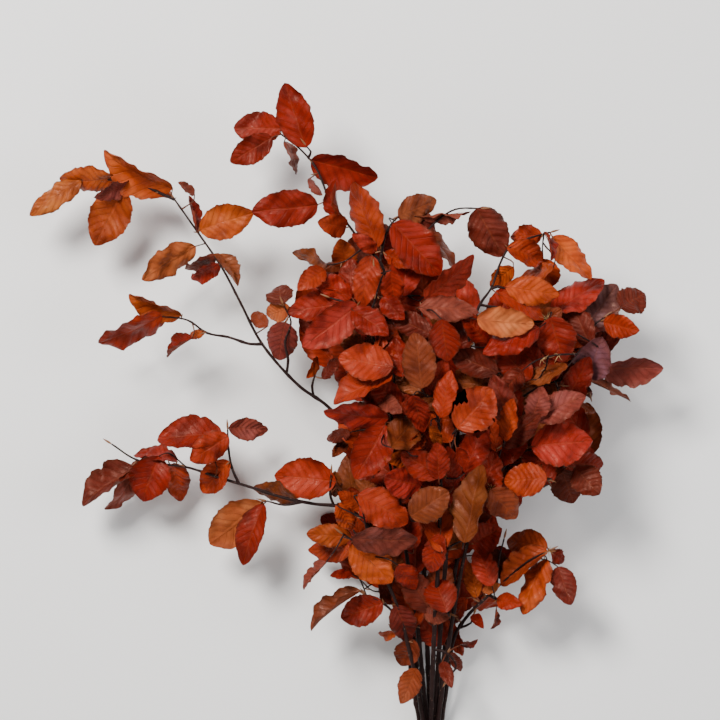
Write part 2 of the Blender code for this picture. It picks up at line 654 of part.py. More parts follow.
def grow_all():
    """Grows every branch and returns them, with the leaves that found no clear place."""
    crowd = Crowd()
    branches = [Grown(number, branch) for number, branch in enumerate(BRANCHES)]
    for grown in branches:
        crowd.add(grown.guard, grown.number)
        for shape in grown.shapes:
            crowd.add(shape, grown.number)
    wishes = []
    for grown in branches:
        for k, leaf in enumerate(grown.branch.leaves):
            wishes.append((leaf.depth, grown.number, k, leaf))
    lost = []
    placed = []
    for depth, number, k, leaf in sorted(wishes):
        draw = random.Random(1000 * number + k)
        blade = place_blade(branches[number], leaf, draw, crowd)
        if blade is None:
            lost.append((branches[number].branch.name, k, leaf))
            continue
        blade.key = (number, k)
        shape = blade_shape(blade, BLADE_THICKNESS)
        placed.append((branches[number], blade, crowd.add(shape, number)))
    while placed:
        gaps = [min((blade.base - place).length for place in grown.wood) for grown, blade, _ in placed]
        grown, blade, numbers = placed.pop(gaps.index(min(gaps)))
        route = grow_stalk(grown, blade, crowd)
        if route is None:
            crowd.forget(numbers)
            lost.append((grown.branch.name, blade.key[1], "no stalk"))
            continue
        add_leaf(grown, blade, route, crowd)
    grow_back(branches, crowd)
    return branches, lost


def grow_back(branches, crowd):
    """Adds the leaves behind the crown's front, alternate along each stem, where they are hidden."""
    fronts = []
    for grown in branches:
        for blade in grown.blades:
            flat = (blade.tip - blade.base).xy
            blade.plan = flat.length
            blade.flat_along = flat.normalized()
            blade.flat_side = Vector((-blade.flat_along.y, blade.flat_along.x))
            blade.shrink = math.sqrt(max(0.0, 1 - blade.side.z ** 2)) * math.cos(blade.fold)
            fronts.append(blade)
    for grown in branches:
        draw = random.Random(77 + grown.number)
        way = 0.0
        side = 1
        for one, other in zip(grown.route, grown.route[1:]):
            way += (other - one).length
            if way < BACK_SPACING or -other.y > BACK_FROM_DOWN:
                continue
            way = 0.0
            side = -side
            ahead = (other - one).normalized()
            for _ in range(14):
                turn = math.radians(draw.uniform(25, 75)) * side
                heading = Vector((ahead.x * math.cos(turn) - ahead.y * math.sin(turn),
                                  ahead.x * math.sin(turn) + ahead.y * math.cos(turn))).normalized()
                plan = draw.uniform(*BACK_LENGTHS) * 0.85
                start = other.xy + heading * draw.uniform(8, 22)
                end = start + heading * plan
                leaf = Leaf(start.x, -start.y, end.x, -end.y, plan * draw.uniform(0.55, 0.66), 0)
                pitch = math.radians(draw.uniform(-40, 5))
                roll = math.radians(draw.uniform(-30, 30))
                drop = draw.uniform(0, 0.9) * other.z
                middle = max(other.z - drop, 4 + plan / 2 * abs(math.tan(pitch)))
                blade = Blade(leaf, middle, pitch, roll, draw)
                if not plan_covered(blade, fronts):
                    continue
                if crowd.meets(blade_shape(blade, BLADE_CLEARANCE), grown.number):
                    continue
                route = grow_stalk(grown, blade, crowd)
                if route is None:
                    continue
                crowd.add(blade_shape(blade, BLADE_THICKNESS), grown.number)
                blade.key = (grown.number, 100 + len(grown.blades))
                add_leaf(grown, blade, route, crowd)
                break


def plain_material(name, colour, roughness):
    """A plain coloured surface."""
    material = bpy.data.materials.new(name)
    material.use_nodes = True
    shader = material.node_tree.nodes["Principled BSDF"]
    shader.inputs["Base Color"].default_value = (*colour, 1.0)
    shader.inputs["Roughness"].default_value = roughness
    shader.inputs["Metallic"].default_value = 0.0
    return material


def mesh_object(name, shape, centre, collection):
    """An object from a shape, in metres, with the bunch's plan centre at the origin."""
    mesh = bpy.data.meshes.new(name)
    points = [(place - centre) * MM for place in shape.points]
    mesh.from_pydata([tuple(point) for point in points], [], shape.faces)
    mesh.update()
    made = bpy.data.objects.new(name, mesh)
    collection.objects.link(made)
    return made


def keep_largest_body(made):
    """Drops loose scraps and sealed hollows that the union leaves behind."""
    work = bmesh.new()
    work.from_mesh(made.data)
    bodies = []
    seen = set()
    for face in work.faces:
        if face in seen:
            continue
        body = [face]
        seen.add(face)
        for member in body:
            for edge in member.edges:
                for neighbour in edge.link_faces:
                    if neighbour not in seen:
                        seen.add(neighbour)
                        body.append(neighbour)
        bodies.append(body)
    bodies.sort(key=len)
    scraps = [face for body in bodies[:-1] for face in body]
    bmesh.ops.delete(work, geom=scraps, context="FACES")
    bmesh.ops.dissolve_limit(work, angle_limit=0.005, verts=work.verts, edges=work.edges)
    bmesh.ops.triangulate(work, faces=work.faces)
    work.to_mesh(made.data)
    work.free()


def join_branch(grown, centre):
    """One solid from a branch's stem, twigs, stalks and blades."""
    made = mesh_object(grown.branch.name, grown.stem, centre, bpy.context.scene.collection)
    repeats = bpy.data.collections.new(grown.branch.name + "_repeats")
    bpy.context.scene.collection.children.link(repeats)
    for k, shape in enumerate(grown.shapes):
        mesh_object(f"{grown.branch.name}_{k}", shape, centre, repeats)
    union = made.modifiers.new("Union", "BOOLEAN")
    union.operation = "UNION"
    union.operand_type = "COLLECTION"
    union.collection = repeats
    union.solver = "MANIFOLD"
    bpy.context.view_layer.objects.active = made
    bpy.ops.object.modifier_apply(modifier="Union")
    for repeat in list(repeats.objects):
        bpy.data.objects.remove(repeat)
    bpy.data.collections.remove(repeats)
    keep_largest_body(made)
    made.data.materials.clear()
    made.data.materials.append(plain_material(grown.branch.name, grown.branch.colour, 0.55))
    return made


def tie_outline(clear):
    """The tie's outline round the stems, across and up, at a clearance from their centres."""
    centres = [(branch.stem[0][0], branch.stem[0][2]) for branch in BRANCHES]
    middle = Vector((TIE_ACROSS, sum(height for _, height in centres) / len(centres)))
    outline = []
    for k in range(TIE_SIDES):
        angle = math.tau * k / TIE_SIDES
        facing = Vector((math.cos(angle), math.sin(angle)))
        reach = max((Vector(centre) - middle).dot(facing) for centre in centres)
        outline.append((facing, reach + clear))
    corners = []
    for (one, near), (other, far) in zip(outline, outline[1:] + outline[:1]):
        turn = one.x * other.y - one.y * other.x
        corners.append(middle + Vector(((near * other.y - far * one.y) / turn,
                                        (far * one.x - near * other.x) / turn)))
    return corners


def make_tie(centre):
    """The twine's turns as one ring with a ridge for each turn."""
    inner = STEM_RADIUS + TWINE_GAP
    width = TWINE_TURNS * TWINE_RADIUS * 2
    start = (TIE_TOP + TIE_BOTTOM - width) / 2
    profile = [(start, inner)]
    for turn in range(TWINE_TURNS):
        for share, rise in ((0.0, 0.9), (0.5, 1.95)):
            profile.append((start + (turn + share) * TWINE_RADIUS * 2, inner + TWINE_RADIUS * rise))
    profile.append((start + width, inner + TWINE_RADIUS * 0.9))
    profile.append((start + width, inner))
    rings = [tie_outline(clear) for _, clear in profile]
    points = []
    for (down, _), ring in zip(profile, rings):
        points += [spot(corner.x, down, corner.y) for corner in ring]
    faces = []
    for row in range(len(profile)):
        after = (row + 1) % len(profile)
        for k in range(TIE_SIDES):
            turn = (k + 1) % TIE_SIDES
            one, two = row * TIE_SIDES + k, row * TIE_SIDES + turn
            three, four = after * TIE_SIDES + turn, after * TIE_SIDES + k
            faces.append((one, two, three))
            faces.append((one, three, four))
    made = mesh_object("tie", Shape(points, faces), centre, bpy.context.scene.collection)
    made.data.materials.append(plain_material("tie", (0.45, 0.32, 0.17), 0.9))
    return made


def main():
    for old in list(bpy.data.objects):
        bpy.data.objects.remove(old)
    branches, lost = grow_all()
    places = [place for grown in branches for shape in [grown.stem, *grown.shapes] for place in shape.points]
    centre = Vector(((min(p.x for p in places) + max(p.x for p in places)) / 2,
                     (min(p.y for p in places) + max(p.y for p in places)) / 2, 0.0))
    for grown in branches:
        made = join_branch(grown, centre)
        print(grown.branch.name, len(grown.blades), "leaves", len(made.data.polygons), "triangles")
    make_tie(centre)
    print("plan centre", tuple(centre), "leaves without a place", lost)


main()
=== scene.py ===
"""Looks for a cut bunch of leafy copper beech branches, tied with twine and lying on a pale surface.

The branches grow by the same rule as in the source of the solids, so every fine leaf, stalk and twig lies
where its solid lies. Plan places are millimetres across and down, and heights are millimetres.
"""

import itertools
import math
import random
from collections import namedtuple

import bpy
import numpy as np
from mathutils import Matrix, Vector
from mathutils.bvhtree import BVHTree


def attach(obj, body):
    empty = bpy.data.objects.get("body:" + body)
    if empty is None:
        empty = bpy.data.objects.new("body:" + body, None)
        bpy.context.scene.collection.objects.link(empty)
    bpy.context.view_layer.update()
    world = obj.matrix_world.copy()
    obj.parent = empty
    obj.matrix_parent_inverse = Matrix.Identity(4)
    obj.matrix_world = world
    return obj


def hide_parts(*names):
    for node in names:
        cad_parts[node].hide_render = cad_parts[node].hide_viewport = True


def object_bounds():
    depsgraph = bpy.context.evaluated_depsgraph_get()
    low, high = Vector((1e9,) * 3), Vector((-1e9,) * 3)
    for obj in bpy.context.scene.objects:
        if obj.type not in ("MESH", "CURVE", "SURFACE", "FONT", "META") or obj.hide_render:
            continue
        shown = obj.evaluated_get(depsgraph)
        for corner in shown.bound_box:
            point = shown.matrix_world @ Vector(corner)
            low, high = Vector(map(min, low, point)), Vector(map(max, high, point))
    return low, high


bl_info = {
    "name": "Beech branch bunch",
    "version": (1, 0, 0),
    "blender": (4, 5, 0),
    "location": "View3D > Sidebar > Beech",
    "description": "Dresses a cut bunch of copper beech branches with fine leaves, twigs, buds and twine",
    "category": "Object",
}

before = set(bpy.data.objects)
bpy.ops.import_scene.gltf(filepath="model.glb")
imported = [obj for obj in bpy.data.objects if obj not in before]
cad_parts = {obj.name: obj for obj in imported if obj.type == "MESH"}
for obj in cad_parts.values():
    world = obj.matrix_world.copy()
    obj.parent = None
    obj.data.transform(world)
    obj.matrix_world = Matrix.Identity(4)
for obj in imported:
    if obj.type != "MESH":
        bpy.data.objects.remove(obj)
PACKED_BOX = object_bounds()

# Sizes of wood and leaves, in millimetres
MM = 0.001
STEM_RADIUS = 2.9
STEM_TIP_RADIUS = 0.9
TWIG_RADIUS = 1.5
TWIG_TIP_RADIUS = 0.8
STALK_HALF = 0.5
SHOOT_HALF = 0.8
LONG_SHOOT = 60.0
STALK_GUARD = 1.7
STALK_NUDGE = 0.3
STEM_STEP = 46.0
TWIG_STEP = 30.0
WOOD_STEP = 6.0
BLADE_THICKNESS = 0.8
BLADE_CLEARANCE = 2.4
WOOD_CLEARANCE = 0.7
ROOT_HALF_WIDTH = 1.1
NATURAL_LENGTH = 50.0

# Where the seeded draws start
NUDGE_SEED = 3
BACK_SEED = 77
CURL_SEED = 900
FILL_SEED = 4201
LEAF_SEED = 5000
WOOD_SEED = 600
BUD_SEED = 70
SCALE_SEED = 300

# Directions that a tube's first corner is turned towards: one that no twig runs along, and straight across
SLANT = Vector((0.31, 0.27, 0.91))
ACROSS = Vector((1.0, 0.0, 0.0))

# Shares of a blade's length at which it is cut into strips
STATIONS = (0.0, 0.2, 0.48, 0.78, 1.0)

# Depth marks of leaves that don't hang below the crown's front
FREE = -1
FLOOR = -2

# Millimetres over or under the wished height and degrees of slope to try for a leaf, and the steepest angles
FREE_HEIGHTS = (0, 3, -3, 6, -6, 10, -10, 15, -15, 20, -20)
CROWN_HEIGHTS = (0, -5, 4, -10, 8, -16, 13, -23, -30, -38, -46, -55, -65, -75, -85)
SLOPES = (0, 9, -9, 18, -18, 28, -28, 40, -40)
WISHED_PITCH = math.radians(44)
STEEPEST_PITCH = math.radians(52)
STEEPEST_ROLL = math.radians(66)

# Sideways bows to try for a stalk
STALK_BOWS = (0.0, 0.18, -0.18, 0.4, -0.4)

# The tie round the stems
TIE_ACROSS = 432.0
TIE_TOP = 741.0
TIE_BOTTOM = 757.0
TIE_SIDES = 24
CUT_END = 788.0
TWINE_RADIUS = 1.2
TWINE_TURNS = 4
TWINE_GAP = 0.35

# The crown: down, across, half its width, and the height of its front
CROWN = (
    (200, 425, 70, 112), (250, 435, 115, 132), (320, 450, 155, 158), (400, 455, 160, 166),
    (480, 450, 135, 142), (560, 435, 105, 108), (640, 430, 60, 66), (720, 432, 22, 34),
)
CROWN_ROUNDING = 0.72

Branch = namedtuple("Branch", "name tones stem twigs leaves")
Leaf = namedtuple("Leaf", "base_across base_down tip_across tip_down width depth", defaults=(FREE,))

# Each branch: its name, a tone letter for each leaf, its stem and its twigs as places across, down and high,
# and its leaves as base, tip, width and depth. A stem's first place is where it passes the tie, and its down
# isn't used. A depth is measured below the crown's front, and a leaf without one hangs free.
# Some tone letters stand for light and shade rather than the leaf's own colour: a deeper tone is painted
# shade on a leaf that lies in shade, and a lighter one is painted light on a leaf that other leaves shade
BRANCH_ROWS = (
    ("branch_upper_left", "OOOYOPOTPDBOVMTBPD",
     ((425.7, 0, 5.6), (419, 690, 13), (412, 620, 24), (402, 560, 36), (385, 500, 48), (362, 450, 60),
      (328, 407, 74), (299, 386, 80), (262, 344, 84), (240, 302, 85), (222, 268, 83), (198, 233, 79),
      (174, 199, 74)),
     (((174, 199, 74), (165, 195, 74), (150, 188, 73), (133, 182, 71), (110, 179, 68), (88, 178, 64)),
      ((264, 346, 84), (250, 344, 85), (228, 337, 85), (207, 333, 84), (187, 320, 82), (158, 316, 79)),
      ((313, 394, 78), (312, 386, 82), (316, 372, 87)),
      ((288, 370, 82), (288, 360, 84), (285, 342, 86), (291, 322, 88), (284, 306, 90))),
     ((172, 188, 102, 152, 30), (170, 197, 133, 184, 16), (114, 176, 57, 177, 24), (80, 179, 27, 214, 24),
      (122, 188, 93, 245, 42), (128, 180, 93, 197, 14), (199, 230, 254, 212, 36), (195, 246, 142, 280, 28),
      (215, 255, 184, 268, 14), (219, 264, 190, 280, 16), (213, 254, 238, 286, 9), (181, 315, 128, 296, 20),
      (163, 314, 97, 343, 24), (281, 305, 279, 285, 28), (290, 307, 266, 315, 22), (268, 326, 251, 314, 16),
      (285, 322, 278, 360, 32), (390, 505, 352, 470, 34, FLOOR))),
    ("branch_lower_left", "DPVVDDVMPTDBVBD",
     ((422.6, 0, 11), (414, 690, 21), (407, 640, 33), (391, 575, 47), (364, 522, 57), (340, 508, 61),
      (315, 505, 63), (285, 499, 65), (250, 488, 64), (220, 479, 62), (185, 468, 58), (135, 461, 50),
      (109, 445, 46)),
     (((236, 484, 63), (231, 468, 66), (228, 450, 69), (227, 430, 71)),
      ((332, 507, 62), (330, 495, 65), (331, 475, 69)),
      ((300, 502, 64), (284, 506, 63), (266, 502, 61))),
     ((222, 435, 156, 440, 33), (228, 428, 268, 431, 23), (228, 436, 190, 461, 30), (229, 462, 200, 494, 28),
      (175, 463, 131, 457, 14), (157, 457, 140, 503, 42), (172, 464, 178, 503, 27), (134, 469, 80, 507, 27),
      (134, 470, 103, 512, 20), (262, 503, 208, 546, 47), (263, 505, 242, 567, 28), (297, 500, 250, 491, 20),
      (336, 482, 273, 476, 42), (335, 472, 335, 498, 14), (362, 545, 320, 520, 30, FLOOR))),
    ("branch_bottom_left", "VPVAOVOBDMBBDM",
     ((425.7, 0, 16.4), (419, 695, 34), (409, 650, 52), (395, 600, 70), (374, 562, 82), (353, 541, 88),
      (343, 534, 89)),
     (((401, 620, 62), (385, 606, 66), (366, 596, 68)),
      ((409, 652, 50), (402, 640, 50), (396, 634, 50)),
      ((372, 562, 82), (368, 535, 92), (362, 508, 98))),
     ((358, 494, 408, 522, 38, 4), (352, 538, 418, 540, 32, 6), (362, 508, 338, 492, 18, 18),
      (338, 503, 352, 531, 20, 14), (351, 538, 306, 535, 24, 8), (351, 552, 307, 553, 26, 16),
      (352, 543, 392, 583, 40, 2), (361, 592, 310, 631, 11), (383, 604, 341, 621, 32),
      (395, 607, 411, 643, 28), (414, 642, 401, 669, 26), (417, 672, 401, 706, 24),
      (398, 565, 416, 590, 24, 14), (380, 582, 398, 607, 22, 26))),
    ("branch_left_middle", "RRLVRDDVVVRDMBDPRO",
     ((428.9, 0, 11), (424, 690, 27), (418, 630, 44), (409, 570, 64), (399, 500, 86), (392, 440, 103),
      (389, 390, 112), (374, 340, 116), (356, 308, 115), (330, 298, 110)),
     (((399, 500, 86), (391, 470, 100), (386, 440, 112), (386, 422, 118)),
      ((390, 400, 110), (394, 384, 120), (393, 368, 126)),
      ((366, 325, 116), (376, 296, 120), (374, 270, 122))),
     ((352, 298, 314, 276, 26, 6), (350, 303, 288, 312, 32, 4), (358, 305, 303, 347, 36, 2),
      (371, 256, 362, 308, 28, 6), (390, 272, 395, 308, 24, 12), (382, 298, 404, 320, 22, 26),
      (352, 310, 388, 335, 28, 14), (386, 322, 376, 355, 10, 18), (393, 367, 338, 357, 38, 2),
      (392, 372, 333, 402, 28, 8), (388, 418, 324, 410, 26, 12), (385, 424, 355, 478, 40, 2),
      (350, 432, 326, 440, 14, 24), (346, 440, 332, 457, 14, 30), (385, 462, 356, 478, 16, 22),
      (380, 398, 402, 412, 18, 22), (421, 485, 384, 476, 34, 10), (418, 458, 385, 458, 20, 18))),
    ("branch_top", "DDDDVVOLLBVBMBDVMMDD",
     ((432, 0, 5.6), (430, 690, 15), (427, 620, 29), (423, 550, 44), (416, 480, 58), (409, 420, 70),
      (400, 362, 82), (391, 300, 92), (380, 262, 98), (365, 247, 100), (346, 222, 101), (330, 200, 100),
      (316, 168, 96), (300, 149, 91), (281, 134, 86)),
     (((312, 158, 94), (311, 152, 96), (307, 147, 98)),
      ((382, 262, 98), (384, 240, 104), (390, 226, 107), (400, 216, 108)),
      ((392, 305, 91), (408, 270, 100), (424, 236, 106), (436, 222, 108), (455, 210, 108), (480, 209, 107))),
     ((306, 148, 285, 84, 36), (281, 128, 233, 127, 34), (318, 205, 252, 212, 38), (311, 160, 378, 178, 32),
      (378, 248, 352, 183, 30), (346, 228, 318, 223, 24), (348, 268, 340, 239, 26, 14),
      (378, 250, 350, 208, 16), (376, 252, 352, 235, 16), (327, 265, 291, 253, 15), (325, 270, 298, 290, 22),
      (398, 217, 436, 200, 28, 8), (398, 217, 438, 235, 20, 20), (422, 232, 455, 270, 16, 20),
      (392, 225, 440, 276, 42, 0), (384, 253, 415, 268, 18, 16), (476, 209, 503, 257, 40),
      (405, 345, 372, 300, 34, FLOOR), (400, 262, 430, 226, 30, FLOOR), (272, 137, 230, 162, 28))),
    ("branch_middle", "VVDBDDLPBDRBDDOVPMM",
     ((432, 0, 16.4), (433, 690, 40), (435, 630, 62), (438, 570, 86), (440, 500, 108), (440, 440, 122),
      (433, 395, 130), (425, 345, 132), (421, 313, 128)),
     (((438, 560, 88), (452, 545, 96), (463, 540, 100)),
      ((440, 470, 116), (450, 448, 128), (456, 430, 136)),
      ((436, 610, 70), (444, 612, 74), (449, 614, 76)),
      ((434, 650, 54), (447, 655, 58), (457, 668, 58), (449, 681, 56))),
     ((455, 427, 490, 388, 45, 0), (440, 417, 450, 370, 24, 12), (459, 430, 492, 416, 17, 10),
      (421, 388, 414, 333, 34, 2), (440, 320, 447, 362, 32, 6), (412, 395, 423, 432, 24, 14),
      (424, 300, 472, 256, 26, 2), (418, 308, 478, 312, 26, 14), (463, 541, 479, 463, 30, 0),
      (438, 478, 436, 441, 24, 8), (455, 447, 466, 466, 13, 16), (410, 515, 448, 490, 35, 6),
      (440, 533, 430, 573, 24, 8), (447, 612, 435, 580, 34, 4), (430, 425, 440, 446, 12, 20),
      (406, 450, 424, 433, 14, 26), (425, 615, 450, 618, 18, 10), (443, 664, 452, 688, 14),
      (452, 655, 463, 676, 12))),
    ("branch_upper_right", "VVAAAAOVTDDRM",
     ((435.1, 0, 11), (438, 690, 31), (442, 620, 50), (447, 550, 70), (451, 485, 88), (458, 430, 102),
      (466, 370, 112), (468, 340, 117), (479, 305, 121), (490, 289, 122), (500, 262, 121), (508, 249, 119),
      (525, 240, 115), (549, 233, 109)),
     (((490, 289, 122), (497, 287, 123), (504, 289, 123)),
      ((480, 303, 121), (510, 312, 118), (536, 322, 114), (548, 319, 112))),
     ((541, 235, 509, 237, 23), (506, 248, 542, 262, 26), (512, 268, 489, 287, 19, 14),
      (543, 259, 549, 288, 27, 16), (551, 237, 590, 280, 26), (504, 288, 558, 295, 30, 2),
      (552, 268, 518, 279, 16, 10), (497, 295, 543, 320, 24, 12), (475, 320, 532, 325, 30, 2),
      (537, 328, 481, 354, 30, 3), (548, 318, 562, 362, 40, 2), (551, 312, 605, 280, 28, 0),
      (590, 345, 570, 300, 26, 16))),
    ("branch_right", "GMVGPBMPPBB",
     ((438.3, 0, 5.6), (443, 690, 14), (450, 620, 27), (461, 550, 40), (477, 490, 53), (499, 430, 64),
      (524, 397, 72), (550, 383, 78), (575, 378, 82), (600, 371, 84)),
     (((560, 381, 80), (574, 350, 90), (590, 328, 96), (603, 318, 98)),
      ((578, 378, 82), (588, 384, 82), (590, 392, 80))),
     ((588, 325, 618, 284, 38, 0), (620, 308, 645, 293, 31), (603, 322, 637, 331, 24),
      (588, 377, 600, 338, 38, 4), (600, 370, 664, 368, 30), (565, 366, 521, 384, 16, 6),
      (520, 370, 498, 395, 22, 12), (530, 418, 540, 386, 26, 4), (533, 418, 583, 395, 30, 2),
      (515, 418, 553, 368, 36, FLOOR), (488, 490, 530, 478, 32, FLOOR))),
    ("branch_lower_right", "VRMMVBDD",
     ((438.3, 0, 16.4), (444, 690, 34), (452, 630, 53), (462, 570, 72), (474, 520, 86), (489, 488, 95),
      (508, 462, 101), (527, 450, 103), (548, 455, 100), (564, 464, 96)),
     (((490, 487, 95), (497, 462, 104), (503, 440, 110)),
      ((474, 520, 86), (484, 500, 100), (492, 488, 108)),
      ((508, 462, 101), (528, 472, 108), (545, 478, 110))),
     ((503, 440, 510, 398, 18, 6), (530, 446, 591, 440, 46, 0), (575, 468, 598, 494, 32),
      (562, 470, 575, 504, 34, 14), (545, 478, 503, 480, 34, 2), (489, 488, 516, 518, 32, 6),
      (470, 545, 500, 528, 34, 16), (566, 462, 604, 464, 26))),
    ("branch_bottom_right", "VVVVAODOMMO",
     ((441.4, 0, 11), (447, 700, 24), (456, 640, 38), (470, 617, 48), (490, 597, 56), (505, 583, 61),
      (530, 562, 64), (550, 552, 65)),
     (((470, 637, 44), (472, 626, 46), (475, 617, 49)),
      ((490, 597, 56), (500, 602, 57), (511, 604, 57)),
      ((498, 590, 58), (500, 560, 62), (505, 540, 64))),
     ((468, 600, 453, 628, 15), (447, 622, 464, 662, 16), (472, 605, 505, 607, 16), (498, 602, 522, 605, 18),
      (549, 552, 503, 588, 22), (549, 549, 508, 544, 30), (552, 553, 566, 563, 16), (548, 560, 524, 616, 25),
      (559, 568, 571, 605, 26), (515, 575, 482, 555, 28), (478, 600, 470, 565, 18))),
)
BRANCHES = [Branch(*row[:4], [Leaf(*leaf) for leaf in row[4]]) for row in BRANCH_ROWS]

# Leaves at the back: how far apart along the stem, how long and wide, their angles in degrees, how often one
# is tried, and the stretch of stem that carries them. Their numbers start at FIRST_BACK.
BACK_SPACING = 30.0
BACK_LENGTHS = (46.0, 64.0)
BACK_WIDTHS = (0.55, 0.66)
BACK_TURNS = (25, 75)
BACK_PITCHES = (-40, 5)
BACK_ROLLS = (-30, 30)
BACK_TRIES = 14
BACK_FROM_DOWN = 640.0
# The back and fill leaves take mostly the deeper tones: partly the leaves' own colours, partly painted shade
# of the crown's deep inside
BACK_TONES = "DBVDRDBVDM"
FIRST_BACK = 100

# Places on a blade, along and across, that have to be hidden before it counts as hidden
COVER_PLACES = ((0.1, 0), (0.5, 0), (1.0, 0), (0.5, 1), (0.5, -1), (0.25, 0.9), (0.25, -0.9), (0.8, 0.8),
                (0.8, -0.8))

# Small dry curled leaves: their branch, their tone letters, and their base, tip and width
CURLS = (
    ("branch_upper_left", "PDODOM",
     ((194, 194, 179, 182, 9), (197, 232, 187, 195, 9), (205, 332, 188, 337, 10), (192, 338, 166, 357, 9),
      (317, 357, 307, 378, 9), (322, 378, 340, 358, 12))),
    ("branch_top", "PPD",
     ((284, 142, 296, 173, 10), (308, 180, 322, 196, 8), (342, 221, 336, 181, 9))),
    ("branch_bottom_left", "PDO",
     ((326, 562, 302, 590, 9), (352, 575, 331, 575, 10), (398, 633, 378, 638, 10))),
    ("branch_upper_right", "D",
     ((543, 233, 549, 262, 6),)),
    ("branch_right", "BBM",
     ((590, 381, 633, 402, 7), (581, 402, 596, 414, 9), (587, 385, 592, 398, 7))),
    ("branch_middle", "M",
     ((462, 647, 478, 641, 8),)),
    ("branch_top", "P",
     ((420, 217, 470, 212, 6),)),
    ("branch_bottom_right", "DMT",
     ((474, 617, 484, 630, 11), (497, 612, 492, 630, 5), (484, 594, 500, 585, 12))),
)

# Where the crown is dense, and its gaps: ovals as across, down, half across, half down
DENSE = (
    (335, 312, 45, 42), (385, 255, 42, 46), (374, 380, 46, 60), (435, 345, 62, 72), (515, 332, 70, 53),
    (590, 325, 38, 38), (500, 420, 80, 60), (560, 455, 40, 42), (395, 480, 58, 60), (455, 515, 48, 60),
    (386, 560, 52, 42), (500, 580, 50, 28), (430, 625, 36, 42), (578, 384, 24, 24),
)
GAPS = (
    (487, 293, 20, 18), (413, 311, 13, 13), (470, 348, 14, 10), (461, 572, 10, 14), (330, 392, 14, 14),
    (445, 238, 20, 14), (350, 500, 12, 10), (512, 515, 16, 20), (520, 585, 12, 12),
)

# Leaves that fill the crown: where they are tried, how far the tries stray, and where they fan out from.
# Each sweep lies deeper than the last, and each covers what the leaves so far cover too few times.
FILL_DOWN = range(190, 670, 17)
FILL_ACROSS = range(285, 640, 17)
FILL_STRAY = 6
FILL_FOOT_DOWN = 700
FILL_TURN = 75
FILL_LENGTHS = (40.0, 60.0)
FILL_WIDTHS = (0.5, 0.66)
FILL_DEPTHS = (26, 44, 64, 84)
FILL_COVERS = 0.5
FILL_MARGIN = 0.9

# Where clusters of pale bud scales show: across, down
SCALES = ((487, 370), (547, 313), (556, 377), (595, 372), (530, 420), (495, 492), (463, 537), (560, 557),
          (476, 372), (572, 372), (538, 424), (500, 497))

# How the side veins slant back, as a share of the blade's length at its margin
VEIN_SLANT = 0.24

# The midrib under a blade: shares of its length and radii, how deep it lies, and its least height
RIB_SHARES = (0.0, 0.12, 0.3, 0.5, 0.7, 0.86)
RIB_RADII = (0.46, 0.42, 0.36, 0.28, 0.2, 0.12)
RIB_DEPTH = 0.45
RIB_LOWEST = 0.4

# Fine wood: its step, how far its knots are apart, a stalk's radii at its ends and what a long one adds, how
# long a stalk is before it has bark, and how far a stem stops short of its cut end
KNOTTY_STEP = 5.0
STEM_KNOTS = 34.0
TWIG_KNOTS = 19.0
STALK_KNOTS = 16.0
STALK_RADII = (0.62, 0.55)
LONG_SHOOT_RADIUS = 0.35
WOODY_STALK = 22
FOOT_INSET = 0.7

# Cut ends, in metres: their radius, their depth and how far they are set in
CUT_RADIUS = (STEM_RADIUS + 0.05) * MM
CUT_DEPTH = 0.0008
CUT_INSET = 0.00085

# Buds: radius and least height in metres, the size of those at the tips, and the share of stalks with one
BUD_RADIUS = 0.00115
BUD_LOWEST = 0.0003
TIP_BUD = 1.15
BUD_SHARE = 0.45

# Bud scales: radius, lengths and bend in metres, how many a cluster has and how far it seeks its twig
SCALE_RADIUS = 0.00042
SCALE_LENGTHS = (0.006, 0.011)
SCALE_BEND = 0.0022
SCALE_COUNT = 6
SCALE_REACH = 26

# The twine's knot and its two ends, from the knot's middle, in millimetres
KNOT_HEIGHT = 1.5
KNOT_PLACES = 60
TWINE_STEP = 1.2
TWINE_PITCH = 6.5
STRAND_RADIUS = 0.6
STRAND_OFFSET = 0.56
STRAND_LOWEST = 0.62
TWINE_ENDS = (
    ((1, 0, 0), (7, 3, 1.5), (14, 3, -1.5), (20, 6, -9), (25, 11, -17.5)),
    ((-1, 0, 0), (-6, -4, 1.2), (-12, -8, -3), (-17, -10, -11), (-21, -15, -18)),
)

# Lights: name, place in metres, size, power and colour
LIGHTS = (
    ("key", (-1.0, 1.3, 2.2), 0.9, 128.0, (1.0, 0.975, 0.95)),
    ("side", (1.7, 0.1, 1.5), 1.4, 24.0, (0.94, 0.96, 1.0)),
    ("low", (-0.2, -1.8, 1.5), 1.4, 14.0, (1.0, 0.98, 0.96)),
)
SKY_STRENGTH = 0.2
SENSOR_WIDTH = 36.0
PHOTO_MIDDLE = (360.0, 360.0)

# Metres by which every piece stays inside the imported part's box
BOX_MARGIN = 0.00005

BUNCH = {}


class Shape:
    """A closed mesh: its points, its triangles and which triangles are at a blade's root."""

    def __init__(self, points, faces, roots=()):
        self.points = points
        self.faces = faces
        self.roots = set(roots)


def spot(across, down, height):
    """The point at a plan place and a height."""
    return Vector((across, -down, height))


def between(before, start, end, after, share):
    """The point at a share of the way from start to end on a smooth curve through four points."""
    early = math.sqrt((start - before).length)
    late = early + math.sqrt((end - start).length)
    last = late + math.sqrt((after - end).length)
    time = early + (late - early) * share
    first = before.lerp(start, time / early)
    second = start.lerp(end, (time - early) / (late - early))
    third = end.lerp(after, (time - late) / (last - late))
    low = first.lerp(second, time / late)
    high = second.lerp(third, (time - early) / (last - early))
    return low.lerp(high, (time - early) / (late - early))


